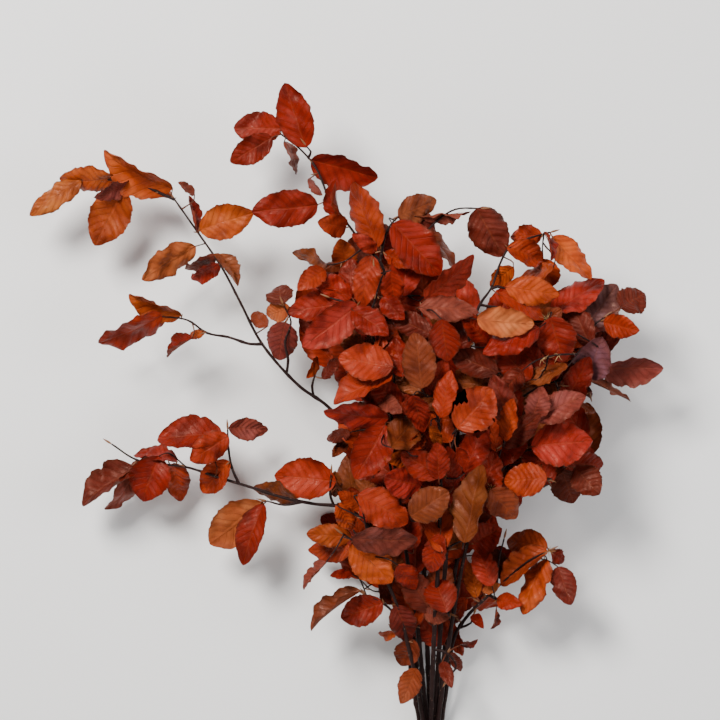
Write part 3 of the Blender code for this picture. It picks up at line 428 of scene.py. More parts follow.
def smooth_route(points, step):
    """Points about a step apart on a smooth curve through the route's own points."""
    ends = [points[0] * 2 - points[1], *points, points[-1] * 2 - points[-2]]
    route = [points[0]]
    for before, start, end, after in zip(ends, ends[1:], ends[2:], ends[3:]):
        count = max(1, round((end - start).length / step))
        route += [between(before, start, end, after, k / count) for k in range(1, count + 1)]
    return route


def travelled(route):
    """How far along a route each of its points is."""
    ways = [0.0]
    for one, other in zip(route, route[1:]):
        ways.append(ways[-1] + (other - one).length)
    return ways


def taper(route, start_radius, end_radius):
    """A radius for each point of a route, shrinking evenly along it."""
    ways = travelled(route)
    return [start_radius + (end_radius - start_radius) * way / ways[-1] for way in ways]


def with_bud(route, radii):
    """A route and its radii with a long pointed bud added at the end."""
    ahead = (route[-1] - route[-2]).normalized()
    swell = max(radii[-1] * 1.35, 1.2)
    return route + [route[-1] + ahead * 3.5, route[-1] + ahead * 11.0], radii + [swell, 0.25]


def square_to(across, ahead):
    """A direction turned square to another."""
    return (across - ahead * across.dot(ahead)).normalized()


def frames(route, across):
    """At each point of a route, two directions square to it and to each other."""
    for i in range(len(route)):
        ahead = (route[min(i + 1, len(route) - 1)] - route[max(i - 1, 0)]).normalized()
        across = square_to(across, ahead)
        yield across, ahead.cross(across)


def tube(route, radii, sides, across=SLANT):
    """A closed tube of flat sides along a route, with a corner towards across at its start."""
    points = []
    for centre, radius, (one, other) in zip(route, radii, frames(route, across)):
        for k in range(sides):
            angle = math.tau * k / sides
            points.append(centre + (one * math.cos(angle) + other * math.sin(angle)) * radius)
    faces = []
    for i in range(len(route) - 1):
        for k in range(sides):
            low = i * sides + k
            next_low = i * sides + (k + 1) % sides
            faces.append((low, next_low, next_low + sides))
            faces.append((low, next_low + sides, low + sides))
    end = (len(route) - 1) * sides
    for k in range(1, sides - 1):
        faces.append((0, k + 1, k))
        faces.append((end, end + k, end + k + 1))
    return Shape(points, faces, range(len(faces)))


class Blade:
    """A leaf's blade: where it lies, which way it faces and how it folds, arches and waves."""

    def __init__(self, leaf, middle_height, pitch, roll, draw):
        plan = math.hypot(leaf.tip_across - leaf.base_across, leaf.tip_down - leaf.base_down)
        rise = plan * math.tan(pitch)
        self.base = spot(leaf.base_across, leaf.base_down, middle_height - rise / 2)
        self.tip = spot(leaf.tip_across, leaf.tip_down, middle_height + rise / 2)
        self.length = (self.tip - self.base).length
        self.along = (self.tip - self.base) / self.length
        upright = (Vector((0, 0, 1)) - self.along * self.along.z).normalized()
        sideways = upright.cross(self.along)
        self.normal = upright * math.cos(roll) + sideways * math.sin(roll)
        self.side = self.normal.cross(self.along)
        narrow = leaf.width < 0.3 * plan
        self.fold = math.radians(draw.uniform(20, 32) if narrow else draw.uniform(4, 15))
        self.arch = draw.uniform(-0.05, 0.09)
        self.cup = draw.uniform(0.2, 0.4) if narrow else draw.uniform(-0.12, 0.16)
        self.wave = draw.uniform(0.02, 0.05)
        self.phase = draw.uniform(0, math.tau)
        self.twist = draw.uniform(-0.35, 0.35)
        self.half = leaf.width / 2 / math.cos(self.fold) / math.cos(roll)
        if leaf.depth == FLOOR:
            self.fold = self.arch = self.cup = self.wave = self.twist = 0.0
            self.half = leaf.width / 2

    def half_width(self, share):
        """Half the blade's width at a share of its length: oval, with a short point."""
        oval = max(math.sin(math.pi * share ** 0.9), 0.0) ** 0.7
        return max(self.half * oval * (1 - 0.25 * share ** 4), ROOT_HALF_WIDTH if share < 0.5 else 0.0)

    def at(self, share, across):
        """The point at a share of the blade's length and across it, from -1 to 1."""
        turn = self.twist * (share - 0.5)
        side = self.side * math.cos(turn) + self.normal * math.sin(turn)
        facing = self.normal * math.cos(turn) - self.side * math.sin(turn)
        reach = self.half_width(share) * across
        height = self.arch * self.length * 4 * share * (1 - share)
        height += abs(reach) * math.sin(self.fold)
        height += self.cup * self.half_width(share) * across ** 2
        ripple = math.sin(math.tau * 1.6 * share + self.phase + (1.9 if across < 0 else 0.0))
        height += self.wave * self.length * ripple * math.sin(math.pi * share) * across ** 2
        return (self.base + self.along * (self.length * share)
                + side * (reach * math.cos(self.fold)) + facing * height)


def blade_shape(blade, thickness, stalk=None):
    """A blade as a closed solid, with its triangles alike on both faces, on its stalk if it has one."""
    root, low, broad, high, point = STATIONS
    middle = [blade.at(share, across) for share in (root, low, broad, high) for across in (1, -1)]
    middle += [blade.at(broad, 0), blade.at(point, 0)]
    count = len(middle)
    top = [(1, 3, 2), (1, 2, 0), (3, 5, 8), (3, 8, 2), (2, 8, 4), (5, 7, 8), (8, 7, 6), (8, 6, 4), (7, 9, 6)]
    rim = [1, 3, 5, 7, 9, 6, 4, 2, 0]
    faces = top + [(c + count, b + count, a + count) for a, b, c in top]
    for one, other in zip(rim, rim[1:] if stalk else rim[1:] + rim[:1]):
        faces.append((one + count, other + count, other))
        faces.append((one + count, other, one))
    lift = blade.normal * (thickness / 2)
    upper = [point + lift for point in middle]
    lower = [point - lift for point in middle]
    for above, below in zip(upper, lower):
        below.z = max(below.z, 0.0)
        above.z = max(above.z, below.z + (thickness if below.z == 0.0 else 0.0))
    roots = [k for k, face in enumerate(faces) if min(p % count for p in face) < 2]
    points = upper + lower
    if stalk:
        add_stalk(points, faces, stalk, blade, (0, 1, 1 + count, count))
    return Shape(points, faces, roots)


def add_stalk(points, faces, route, blade, root):
    """Adds a four-sided stalk along a route that ends at the root of a blade."""
    gap = travelled(route)[-1]
    thick = STALK_HALF + (SHOOT_HALF - STALK_HALF) * min(gap / LONG_SHOOT, 1.0)
    side = blade.side
    ring = root
    for i in range(len(route) - 2, -1, -1):
        ahead = (route[i + 1] - route[max(i - 1, 0)]).normalized()
        side = square_to(side, ahead)
        facing = ahead.cross(side)
        start = len(points)
        for across, up in ((1, 1), (-1, 1), (-1, -1), (1, -1)):
            points.append(route[i] + side * (thick * across) + facing * (thick * up))
        for k in range(4):
            one, two = start + k, start + (k + 1) % 4
            faces.append((one, two, ring[(k + 1) % 4]))
            faces.append((one, ring[(k + 1) % 4], ring[k]))
        ring = (start, start + 1, start + 2, start + 3)
    faces.append((ring[0], ring[2], ring[1]))
    faces.append((ring[0], ring[3], ring[2]))


class Crowd:
    """All that is placed so far, with the branch that each triangle belongs to."""

    def __init__(self):
        self.points = []
        self.faces = []
        self.owners = []
        self.roots = []
        self.tree = None

    def add(self, shape, owner):
        """Adds a shape and returns the numbers of its triangles."""
        start = len(self.points)
        first = len(self.faces)
        self.points += shape.points
        self.faces += [tuple(start + p for p in face) for face in shape.faces]
        self.owners += [owner] * len(shape.faces)
        self.roots += [k in shape.roots for k in range(len(shape.faces))]
        self.tree = None
        return range(first, len(self.faces))

    def forget(self, numbers):
        """Leaves out triangles that were added."""
        for k in numbers:
            self.owners[k] = None

    def meets(self, shape, owner):
        """2 where a shape crosses another branch, 1 where it crosses its own, and 0 where it is clear."""
        if self.tree is None:
            self.tree = BVHTree.FromPolygons(self.points, self.faces)
        found = 0
        for placed, new in self.tree.overlap(BVHTree.FromPolygons(shape.points, shape.faces)):
            if self.owners[placed] is None:
                continue
            if self.owners[placed] != owner:
                return 2
            if not self.roots[placed] and new not in shape.roots:
                found = 1
        return found


def crown_front(across, down):
    """The height of the crown's front at a plan place."""
    lower = [row for row in CROWN if row[0] <= down] or [CROWN[0]]
    upper = [row for row in CROWN if row[0] > down] or [CROWN[-1]]
    start, end = lower[-1], upper[0]
    share = (down - start[0]) / (end[0] - start[0]) if end[0] != start[0] else 0.0
    share = min(max(share, 0.0), 1.0)
    centre, half, height = (start[k] + (end[k] - start[k]) * share for k in (1, 2, 3))
    out = min(abs(across - centre) / half, 1.0)
    return height * math.sqrt(1 - CROWN_ROUNDING * out ** 2)


def stem_route(branch):
    """A stem's smooth route from its cut end through the tie and up into the crown."""
    across, _, height = branch.stem[0]
    splay = (across - TIE_ACROSS) * 0.35
    cut = CUT_END + 4 * math.sin(across * 3 + height)
    held = [spot(across + splay, cut, height * 1.1 - 0.4), spot(across, TIE_BOTTOM, height),
            spot(across, TIE_TOP, height)]
    return smooth_route(held + [spot(*place) for place in branch.stem[1:]], STEM_STEP)


def twig_route(points, wood):
    """A side twig's smooth route, starting inside the nearest wood."""
    start = min(wood, key=lambda place: (place - points[0]).length)
    return smooth_route([start, *points[1:]] if (points[1] - start).length > 6 else [start, *points[2:]],
                        TWIG_STEP)


def fine_points(route, step=WOOD_STEP):
    """Points about a step apart along a route."""
    places = []
    for one, other in zip(route, route[1:]):
        count = max(1, round((other - one).length / step))
        places += [one.lerp(other, k / count) for k in range(count)]
    return places + [route[-1]]


class Grown:
    """A branch as it grows: its shapes, the places on its wood, and its leaves still without a stalk."""

    def __init__(self, number, branch):
        self.number = number
        self.branch = branch
        self.route = stem_route(branch)
        self.stem = tube(*with_bud(self.route, taper(self.route, STEM_RADIUS, STEM_TIP_RADIUS)), 6, ACROSS)
        self.guard = tube(self.route, taper(self.route, STEM_RADIUS + WOOD_CLEARANCE,
                                            STEM_TIP_RADIUS + WOOD_CLEARANCE), 6)
        self.wood = [place for place in fine_points(self.route) if -place.y < 700]
        self.shapes = []
        self.stalks = []
        self.blades = []
        for points in branch.twigs:
            route = twig_route([spot(*place) for place in points], self.wood)
            self.wood += fine_points(route)
            self.stalks.append(route)
            self.shapes.append(tube(*with_bud(route, taper(route, TWIG_RADIUS, TWIG_TIP_RADIUS)), 4))


def tries(leaf, draw):
    """Heights over or under the wish, pitches and rolls to try for a leaf, the likeliest first."""
    plan = math.hypot(leaf.tip_across - leaf.base_across, leaf.tip_down - leaf.base_down)
    foreshortened = math.acos(min(1.0, plan / NATURAL_LENGTH)) * 0.7
    wish = foreshortened * draw.choice((-1, -1, 1)) + math.radians(draw.uniform(-14, 8))
    wish = max(min(wish, WISHED_PITCH), -WISHED_PITCH)
    ratio = leaf.width / plan
    lean = math.acos(min(1.0, max(ratio / 0.58, 0.45)))
    lean = lean * draw.choice((-1, 1)) if ratio < 0.5 else math.radians(draw.uniform(-16, 16))
    if leaf.depth == FLOOR:
        return [(0.0, 0.0, 0.0)]
    rolls = [(lean, 0), (lean * 0.5, 1), (-lean, 2), (lean + 0.3, 3), (lean - 0.3, 3), (-lean * 0.5, 3)]
    listed = []
    for height in FREE_HEIGHTS if leaf.depth == FREE else CROWN_HEIGHTS:
        for slope in map(math.radians, SLOPES):
            for roll, cost in rolls:
                if abs(wish + slope) <= STEEPEST_PITCH and abs(roll) <= STEEPEST_ROLL:
                    total = abs(height) / 7 + abs(slope) * 3.2 + cost * 0.7
                    listed.append((total, height, wish + slope, roll))
    return [row[1:] for row in sorted(listed)]


def place_blade(grown, leaf, draw, crowd):
    """Sets a leaf's blade in the first clear place, or returns None."""
    if leaf.depth == FREE:
        base = spot(leaf.base_across, leaf.base_down, 0)
        near = min(grown.wood, key=lambda place: (place.xy - base.xy).length)
        wished = near.z + 1
    elif leaf.depth == FLOOR:
        wished = BLADE_THICKNESS / 2
    else:
        across = (leaf.base_across + leaf.tip_across) / 2
        wished = crown_front(across, (leaf.base_down + leaf.tip_down) / 2) - leaf.depth
    plan = math.hypot(leaf.tip_across - leaf.base_across, leaf.tip_down - leaf.base_down)
    state = draw.getstate()
    second_best = None
    for height, pitch, roll in tries(leaf, draw):
        draw.setstate(state)
        middle = wished + height
        if leaf.depth == FREE:
            middle += plan / 2 * math.tan(pitch)
        if leaf.depth != FLOOR and middle - plan / 2 * abs(math.tan(pitch)) < 2:
            continue
        blade = Blade(leaf, middle, pitch, roll, draw)
        found = crowd.meets(blade_shape(blade, BLADE_CLEARANCE), grown.number)
        if found == 0:
            return blade
        if found == 1 and second_best is None:
            second_best = blade
    return second_best if leaf.depth in (FREE, FLOOR) else None


def stalk_route(start, blade, bow):
    """A leaf stalk's route from the wood into the root of its blade."""
    root = blade.at(0.0, 0)
    gap = (root - start).length
    bend = root - blade.along * (gap * 0.42) + blade.side * (gap * bow)
    count = 1 if gap < 14 else 2 if gap < 50 else 3
    route = []
    for k in range(count):
        share = k / count
        route.append(start.lerp(bend, share).lerp(bend.lerp(root, share), share))
    for place in route:
        place.z = max(place.z, SHOOT_HALF + 0.3)
    return route + [root]


def grow_stalk(grown, blade, crowd):
    """Joins a blade to the wood by the cheapest clear stalk, and says whether one was found."""
    root = blade.base

    def cost(place):
        way = root - place
        gap = way.length
        turn = 1 - (way.normalized().dot(blade.along) if gap > 1 else 1)
        return gap * (1 + 0.45 * turn)

    draw = random.Random(NUDGE_SEED * 10000 + grown.number * 100 + len(grown.stalks))
    nudge = Vector([draw.uniform(-STALK_NUDGE, STALK_NUDGE) for _ in range(3)])
    targets = [place + nudge for place in sorted(grown.wood, key=cost)[:60:3]]
    fallback = None
    for start in targets:
        for bow in STALK_BOWS:
            route = stalk_route(start, blade, bow)
            guard = tube(route, [STALK_GUARD] * len(route), 4)
            guard.roots = set()
            found = crowd.meets(guard, grown.number)
            if found == 0:
                return route
            if found == 1 and fallback is None:
                fallback = route
        if fallback is not None and start is targets[min(5, len(targets) - 1)]:
            break
    return fallback


def add_leaf(grown, blade, route, crowd):
    """Adds a blade on its stalk to its branch."""
    crowd.add(tube(route, [SHOOT_HALF * 1.3] * len(route), 4), grown.number)
    grown.blades.append(blade)
    grown.shapes.append(blade_shape(blade, BLADE_THICKNESS, stalk=route))
    grown.stalks.append(route)
    grown.wood += fine_points(route)[:-3]


def flat_form(blade):
    """Keeps what is needed to tell whether a plan place lies under a blade, and returns the blade."""
    flat = (blade.tip - blade.base).xy
    blade.plan = max(flat.length, 0.1)
    blade.flat_along = flat.normalized()
    blade.flat_side = Vector((-blade.flat_along.y, blade.flat_along.x))
    blade.shrink = math.sqrt(max(0.0, 1 - blade.side.z ** 2)) * math.cos(blade.fold)
    return blade


def covers(blade, place, margin=1.0):
    """Whether a blade, or a share of its width, covers a plan place."""
    way = place - blade.base.xy
    ahead = way.dot(blade.flat_along) / blade.plan
    if not 0 <= ahead <= 1:
        return False
    return abs(way.dot(blade.flat_side)) <= blade.half_width(ahead) * blade.shrink * margin


def plan_covered(blade, fronts):
    """Whether a blade hides behind the front leaves, seen from straight above."""
    places = (blade.at(share, across).xy for share, across in COVER_PLACES)
    return all(any(covers(front, place) for front in fronts) for place in places)


def grow_all():
    """Grows every branch and returns them, with the leaves that found no clear place."""
    crowd = Crowd()
    branches = [Grown(number, branch) for number, branch in enumerate(BRANCHES)]
    for grown in branches:
        crowd.add(grown.guard, grown.number)
        for shape in grown.shapes:
            crowd.add(shape, grown.number)
    wishes = []
    for grown in branches:
        for k, leaf in enumerate(grown.branch.leaves):
            wishes.append((leaf.depth, grown.number, k, leaf))
    lost = []
    placed = []
    for _, number, k, leaf in sorted(wishes):
        draw = random.Random(1000 * number + k)
        blade = place_blade(branches[number], leaf, draw, crowd)
        if blade is None:
            lost.append((branches[number].branch.name, k, leaf))
            continue
        blade.key = (number, k)
        shape = blade_shape(blade, BLADE_THICKNESS)
        placed.append((branches[number], blade, crowd.add(shape, number)))
    while placed:
        gaps = [min((blade.base - place).length for place in grown.wood) for grown, blade, _ in placed]
        grown, blade, numbers = placed.pop(gaps.index(min(gaps)))
        route = grow_stalk(grown, blade, crowd)
        if route is None:
            crowd.forget(numbers)
            lost.append((grown.branch.name, blade.key[1], "no stalk"))
            continue
        add_leaf(grown, blade, route, crowd)
    grow_back(branches, crowd)
    return branches, lost, crowd


def back_blade(place, ahead, side, draw):
    """One try at a leaf behind the crown's front: its blade beside a place on a stem."""
    turn = math.radians(draw.uniform(*BACK_TURNS)) * side
    heading = Vector((ahead.x * math.cos(turn) - ahead.y * math.sin(turn),
                      ahead.x * math.sin(turn) + ahead.y * math.cos(turn))).normalized()
    plan = draw.uniform(*BACK_LENGTHS) * 0.85
    start = place.xy + heading * draw.uniform(8, 22)
    end = start + heading * plan
    leaf = Leaf(start.x, -start.y, end.x, -end.y, plan * draw.uniform(*BACK_WIDTHS), 0)
    pitch = math.radians(draw.uniform(*BACK_PITCHES))
    roll = math.radians(draw.uniform(*BACK_ROLLS))
    drop = draw.uniform(0, 0.9) * place.z
    middle = max(place.z - drop, 4 + plan / 2 * abs(math.tan(pitch)))
    return Blade(leaf, middle, pitch, roll, draw)


def grow_back(branches, crowd):
    """Adds the leaves behind the crown's front, alternate along each stem, where they are hidden."""
    fronts = [flat_form(blade) for grown in branches for blade in grown.blades]
    for grown in branches:
        draw = random.Random(BACK_SEED + grown.number)
        way = 0.0
        side = 1
        for one, other in zip(grown.route, grown.route[1:]):
            way += (other - one).length
            if way < BACK_SPACING or -other.y > BACK_FROM_DOWN:
                continue
            way = 0.0
            side = -side
            for _ in range(BACK_TRIES):
                blade = back_blade(other, (other - one).normalized(), side, draw)
                if not plan_covered(blade, fronts):
                    continue
                if crowd.meets(blade_shape(blade, BLADE_CLEARANCE), grown.number):
                    continue
                route = grow_stalk(grown, blade, crowd)
                if route is None:
                    continue
                crowd.add(blade_shape(blade, BLADE_THICKNESS), grown.number)
                blade.key = (grown.number, FIRST_BACK + len(grown.blades))
                add_leaf(grown, blade, route, crowd)
                break


def tie_outline(clear):
    """The tie's outline round the stems, across and up, at a clearance from their centres."""
    centres = [(branch.stem[0][0], branch.stem[0][2]) for branch in BRANCHES]
    middle = Vector((TIE_ACROSS, sum(height for _, height in centres) / len(centres)))
    outline = []
    for k in range(TIE_SIDES):
        angle = math.tau * k / TIE_SIDES
        facing = Vector((math.cos(angle), math.sin(angle)))
        reach = max((Vector(centre) - middle).dot(facing) for centre in centres)
        outline.append((facing, reach + clear))
    corners = []
    for (one, near), (other, far) in zip(outline, outline[1:] + outline[:1]):
        turn = one.x * other.y - one.y * other.x
        corners.append(middle + Vector(((near * other.y - far * one.y) / turn,
                                        (far * one.x - near * other.x) / turn)))
    return corners


def in_ovals(ovals, across, down):
    """Whether a plan place lies in one of the ovals."""
    return any(((across - centre_across) / half_across) ** 2 + ((down - centre_down) / half_down) ** 2 < 1
               for centre_across, centre_down, half_across, half_down in ovals)


def inside_crown(across, down):
    """Whether a plan place lies in the dense part of the crown."""
    return in_ovals(DENSE, across, down) and not in_ovals(GAPS, across, down)


def grow_extra(grown, crowd, leaf, draw, tone, dense=False):
    """Adds one more leaf where it finds a clear place. If it is dense, its stalk stays in the dense crown."""
    blade = place_blade(grown, leaf, draw, crowd)
    if blade is None:
        return None
    route = grow_stalk(grown, blade, crowd)
    if route is None or dense and not all(in_ovals(DENSE, place.x, -place.y) for place in route):
        return None
    crowd.add(blade_shape(blade, BLADE_THICKNESS), grown.number)
    blade.tone = tone
    add_leaf(grown, blade, route, crowd)
    return flat_form(blade)


def grow_fill(branches, crowd):
    """Fills the gaps in the dense crown with leaves further back."""
    blades = [flat_form(blade) for grown in branches for blade in grown.blades]
    draw = random.Random(FILL_SEED)
    count = 0
    for (sweep, depth), down, across in itertools.product(enumerate(FILL_DEPTHS), FILL_DOWN, FILL_ACROSS):
        across += draw.uniform(-FILL_STRAY, FILL_STRAY)
        down += draw.uniform(-FILL_STRAY, FILL_STRAY)
        if not inside_crown(across, down):
            continue
        place = Vector((across, -down))
        if sum(covers(blade, place, FILL_MARGIN) for blade in blades) > sweep * FILL_COVERS:
            continue
        outward = math.atan2(across - TIE_ACROSS, FILL_FOOT_DOWN - down)
        heading = outward + math.radians(draw.uniform(-FILL_TURN, FILL_TURN))
        length = draw.uniform(*FILL_LENGTHS)
        ahead_across, ahead_down = math.sin(heading) * length / 2, -math.cos(heading) * length / 2
        ends = (across - ahead_across, down - ahead_down, across + ahead_across, down + ahead_down)
        if not inside_crown(*ends[:2]) or not inside_crown(*ends[2:]):
            continue
        leaf = Leaf(*ends, length * draw.uniform(*FILL_WIDTHS), depth)
        base = spot(*ends[:2], crown_front(across, down) - depth)
        grown = min(branches, key=lambda one: min((base - place).length for place in one.wood))
        count += 1
        made = grow_extra(grown, crowd, leaf, random.Random(count), draw.choice(BACK_TONES), dense=True)
        if made:
            blades.append(made)


def grown_branches():
    """The branches, grown once, with their small dry leaves and the leaves that fill the crown."""
    if not BUNCH:
        branches, lost, crowd = grow_all()
        places = [place for grown in branches for shape in [grown.stem, *grown.shapes]
                  for place in shape.points]
        BUNCH["centre"] = Vector(((min(p.x for p in places) + max(p.x for p in places)) / 2,
                                  (min(p.y for p in places) + max(p.y for p in places)) / 2, 0.0))
        for blade in (blade for grown in branches for blade in grown.blades):
            number, k = blade.key
            tones = branches[number].branch.tones if k < FIRST_BACK else BACK_TONES
            blade.tone = tones[k % len(tones)]
        curls = [(name, row, tone) for name, tones, rows in CURLS for row, tone in zip(rows, tones)]
        for k, (name, row, tone) in enumerate(curls):
            grown = next(one for one in branches if one.branch.name == name)
            grow_extra(grown, crowd, Leaf(*row), random.Random(CURL_SEED + k), tone)
        grow_fill(branches, crowd)
        BUNCH["branches"] = branches
        print("leaves", sum(len(grown.blades) for grown in branches), "lost", lost)
    return BUNCH["branches"]


def in_metres(places):
    """Millimetre places as an array in metres, round the middle of the bunch's plan."""
    return (np.array([tuple(place) for place in places], float) - np.array(BUNCH["centre"])) * MM


def mesh_places(mesh):
    """A mesh's points as an array."""
    places = np.empty(len(mesh.vertices) * 3, np.float32)
    mesh.vertices.foreach_get("co", places)
    return places.reshape(-1, 3).astype(float)


def set_places(mesh, places):
    """Moves a mesh's points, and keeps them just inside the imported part's box."""
    low, high = np.array(PACKED_BOX[0]) + BOX_MARGIN, np.array(PACKED_BOX[1]) - BOX_MARGIN
    mesh.vertices.foreach_set("co", np.clip(places, low, high).astype(np.float32).ravel())


# Sizes and colours that a user would change


def shade(name, words, value):
    """A colour property."""
    return bpy.props.FloatVectorProperty(name=name, description=words, subtype="COLOR", size=3, min=0.0,
                                         max=1.0, default=value)


def length(name, words, value):
    """A length property in metres."""
    return bpy.props.FloatProperty(name=name, description=words, default=value, min=0.0, unit="LENGTH")


def amount(name, words, value, low, high):
    """A plain number property."""
    return bpy.props.FloatProperty(name=name, description=words, default=value, min=low, max=high)


class BeechLeafSettings(bpy.types.PropertyGroup):
    """Sizes of the fine leaves."""

    thickness: length("Thickness", "How thick a blade is", 0.0003)
    pleat: length("Pleat depth", "How deep the blade is pleated between its side veins", 0.0008)
    tooth: amount("Teeth", "Depth of the shallow teeth, as a share of the half width", 0.028, 0.0, 0.2)
    edge_wave: amount("Edge wave", "Height of the margin's short waves, as a share of the length", 0.02, 0.0,
                      0.1)
    vein_pairs: amount("Vein pairs", "Side veins on each side", 8.0, 4.0, 12.0)
    strips: bpy.props.IntProperty(name="Strips", description="Strips along a blade", default=38, min=8)
    rows: bpy.props.IntProperty(name="Rows", description="Rows across a blade", default=14, min=4)


class BeechLeafColours(bpy.types.PropertyGroup):
    """Colours of the leaves."""

    R: shade("Bright red", "Bright red leaves", (0.26, 0.012, 0.0055))
    D: shade("Deep red", "Deep red leaves", (0.165, 0.0065, 0.0022))
    V: shade("Red-orange", "Red-orange leaves", (0.25, 0.0185, 0.004))
    O: shade("Orange", "Orange leaves", (0.28, 0.036, 0.005))
    A: shade("Light orange", "Light orange leaves", (0.4, 0.05, 0.007))
    Y: shade("Ochre", "Ochre leaves", (0.28, 0.056, 0.008))
    T: shade("Tan", "Leaves that show their pale underside", (0.37, 0.08, 0.02))
    L: shade("Salmon", "Salmon red leaves", (0.27, 0.0215, 0.0105))
    P: shade("Dusty pink", "Dusty pink-brown leaves", (0.165, 0.028, 0.018))
    # Grey purple is partly the leaves' own dusky colour and partly a painted sheen, the sky reflected on
    # satin leaves
    G: shade("Grey purple", "Grey-purple leaves", (0.13, 0.042, 0.04))
    M: shade("Maroon", "Dark maroon leaves", (0.09, 0.0085, 0.0042))
    B: shade("Brown", "Brown leaves", (0.155, 0.026, 0.007))
    underside: shade("Underside", "What undersides turn towards", (0.27, 0.055, 0.017))
    edge: shade("Dry edge", "Dry edges and blotches", (0.045, 0.012, 0.004))
    vein: shade("Vein", "Veins", (0.3, 0.07, 0.02))


class BeechWoodSettings(bpy.types.PropertyGroup):
    """Colours and sizes of twigs, stalks, buds and cut ends."""

    bark: shade("Bark", "Bark of stems and twigs", (0.009, 0.0028, 0.0026))
    bark_light: shade("Bark bloom", "Paler bloom on the bark", (0.019, 0.0072, 0.0066))
    stalk: shade("Stalk", "Leaf stalks", (0.12, 0.03, 0.014))
    bud: shade("Bud", "Winter buds", (0.2, 0.075, 0.024))
    straw: shade("Bud scale", "Papery bud scales", (0.42, 0.25, 0.1))
    cut: shade("Cut wood", "Cut ends of the stems", (0.6, 0.42, 0.24))
    twine: shade("Twine", "Twine round the stems", (0.42, 0.29, 0.14))
    bud_length: length("Bud length", "Length of a bud", 0.0095)


class BeechStageSettings(bpy.types.PropertyGroup):
    """Floor, lights and camera."""

    floor: shade("Floor", "Colour of the floor", (0.92, 0.915, 0.905))
    camera_height: length("Camera height", "Camera above the middle of the bunch", 4.0)
    picture_width: length("Picture width", "Width that the picture takes in", 0.72)
    middle_height: length("Middle height", "Height at which the picture's scale is exact", 0.09)


# Materials


class Nodes:
    """A short way to write a material's or a group's nodes."""

    def __init__(self, tree):
        self.tree = tree

    def add(self, kind, values=(), **settings):
        """Adds a node, sets its options, and sets or links its inputs."""
        node = self.tree.nodes.new(kind)
        for name, value in settings.items():
            setattr(node, name, value)
        for socket, value in dict(values).items():
            self.put(node.inputs[socket], value)
        return node

    def put(self, socket, value):
        """Links an output to a socket, or sets the socket's value. A colour is solid."""
        if isinstance(value, bpy.types.NodeSocket):
            self.tree.links.new(value, socket)
        else:
            socket.default_value = (*value, 1.0) if socket.type == "RGBA" else value

    def maths(self, operation, *values):
        """A Math node's result."""
        return self.add("ShaderNodeMath", enumerate(values), operation=operation).outputs[0]

    def plus(self, one, two):
        """A sum."""
        return self.maths("ADD", one, two)

    def times(self, one, two):
        """A product."""
        return self.maths("MULTIPLY", one, two)

    def mix(self, share, one, two, kind="MIX"):
        """A colour between two."""
        return self.add("ShaderNodeMix", {0: share, 6: one, 7: two}, data_type="RGBA",
                        blend_type=kind).outputs[2]

    def between(self, value, low, high, start=0.0, end=1.0):
        """A value mapped smoothly from one range to another."""
        return self.add("ShaderNodeMapRange", {0: value, 1: low, 2: high, 3: start, 4: end},
                        interpolation_type="SMOOTHSTEP").outputs[0]

    def noise(self, vector, scale, detail=3.0, roughness=0.55):
        """A noise value."""
        return self.add("ShaderNodeTexNoise", {"Vector": vector, "Scale": scale, "Detail": detail,
                                               "Roughness": roughness}).outputs["Fac"]

    def place(self):
        """The place in the piece's own space."""
        return self.add("ShaderNodeTexCoord").outputs["Object"]

    def own_map(self):
        """The piece's own map."""
        return self.add("ShaderNodeUVMap", uv_map="UVMap").outputs[0]

    def attribute(self, name, output="Fac"):
        """A value kept on the mesh."""
        return self.add("ShaderNodeAttribute", attribute_name=name).outputs[output]

    def surface(self, colour, rough, **others):
        """Sets the colour, the roughness and any other inputs of the material's shader."""
        shader = self.tree.nodes["Principled BSDF"]
        for name, value in {"Base_Color": colour, "Roughness": rough, **others}.items():
            self.put(shader.inputs[name.replace("_", " ")], value)

    def bump(self, height, strength, distance):
        """A raised surface's normal."""
        return self.add("ShaderNodeBump", {"Height": height, "Strength": strength,
                                           "Distance": distance}).outputs[0]


def new_group(name, inputs, outputs):
    """An empty node group with its sockets, and its helper, inlets and outlets."""
    group = bpy.data.node_groups.new(name, "ShaderNodeTree")
    for way, sockets in (("INPUT", inputs), ("OUTPUT", outputs)):
        for label, kind in sockets:
            group.interface.new_socket(label, in_out=way, socket_type=kind)
    nodes = Nodes(group)
    return group, nodes, nodes.add("NodeGroupInput").outputs, nodes.add("NodeGroupOutput").inputs


def vein_group():
    """Veins from a blade's own map: midrib, side veins and the pleats between them."""
    pairs = bpy.context.scene.beech_leaf_settings.vein_pairs
    group, nodes, inlet, outlet = new_group(
        "beech_veins", [("Map", "NodeSocketVector")],
        [(label, "NodeSocketFloat") for label in ("Midrib", "Side veins", "Pleat", "Out")])
    parts = nodes.add("ShaderNodeSeparateXYZ", {0: inlet[0]}).outputs
    out = nodes.maths("ABSOLUTE", nodes.maths("MULTIPLY_ADD", parts[1], 2.0, -1.0))
    phase = nodes.times(nodes.maths("MULTIPLY_ADD", out, -VEIN_SLANT, parts[0]), pairs)
    away = nodes.maths("ABSOLUTE", nodes.maths("SUBTRACT", nodes.maths("FRACT", phase), 0.5))
    line = nodes.between(away, 0.03, 0.085, 1.0, 0.0)
    fade = nodes.between(out, 0.86, 1.0, 1.0, 0.25)
    midrib = nodes.between(out, 0.03, 0.075, 1.0, 0.0)
    for socket, value in zip(outlet, (midrib, nodes.times(line, fade), nodes.times(away, 2.0), out)):
        nodes.put(socket, value)
    return group


def new_material(name):
    """A material with its helper."""
    material = bpy.data.materials.new(name)
    material.use_nodes = True
    return material, Nodes(material.node_tree)


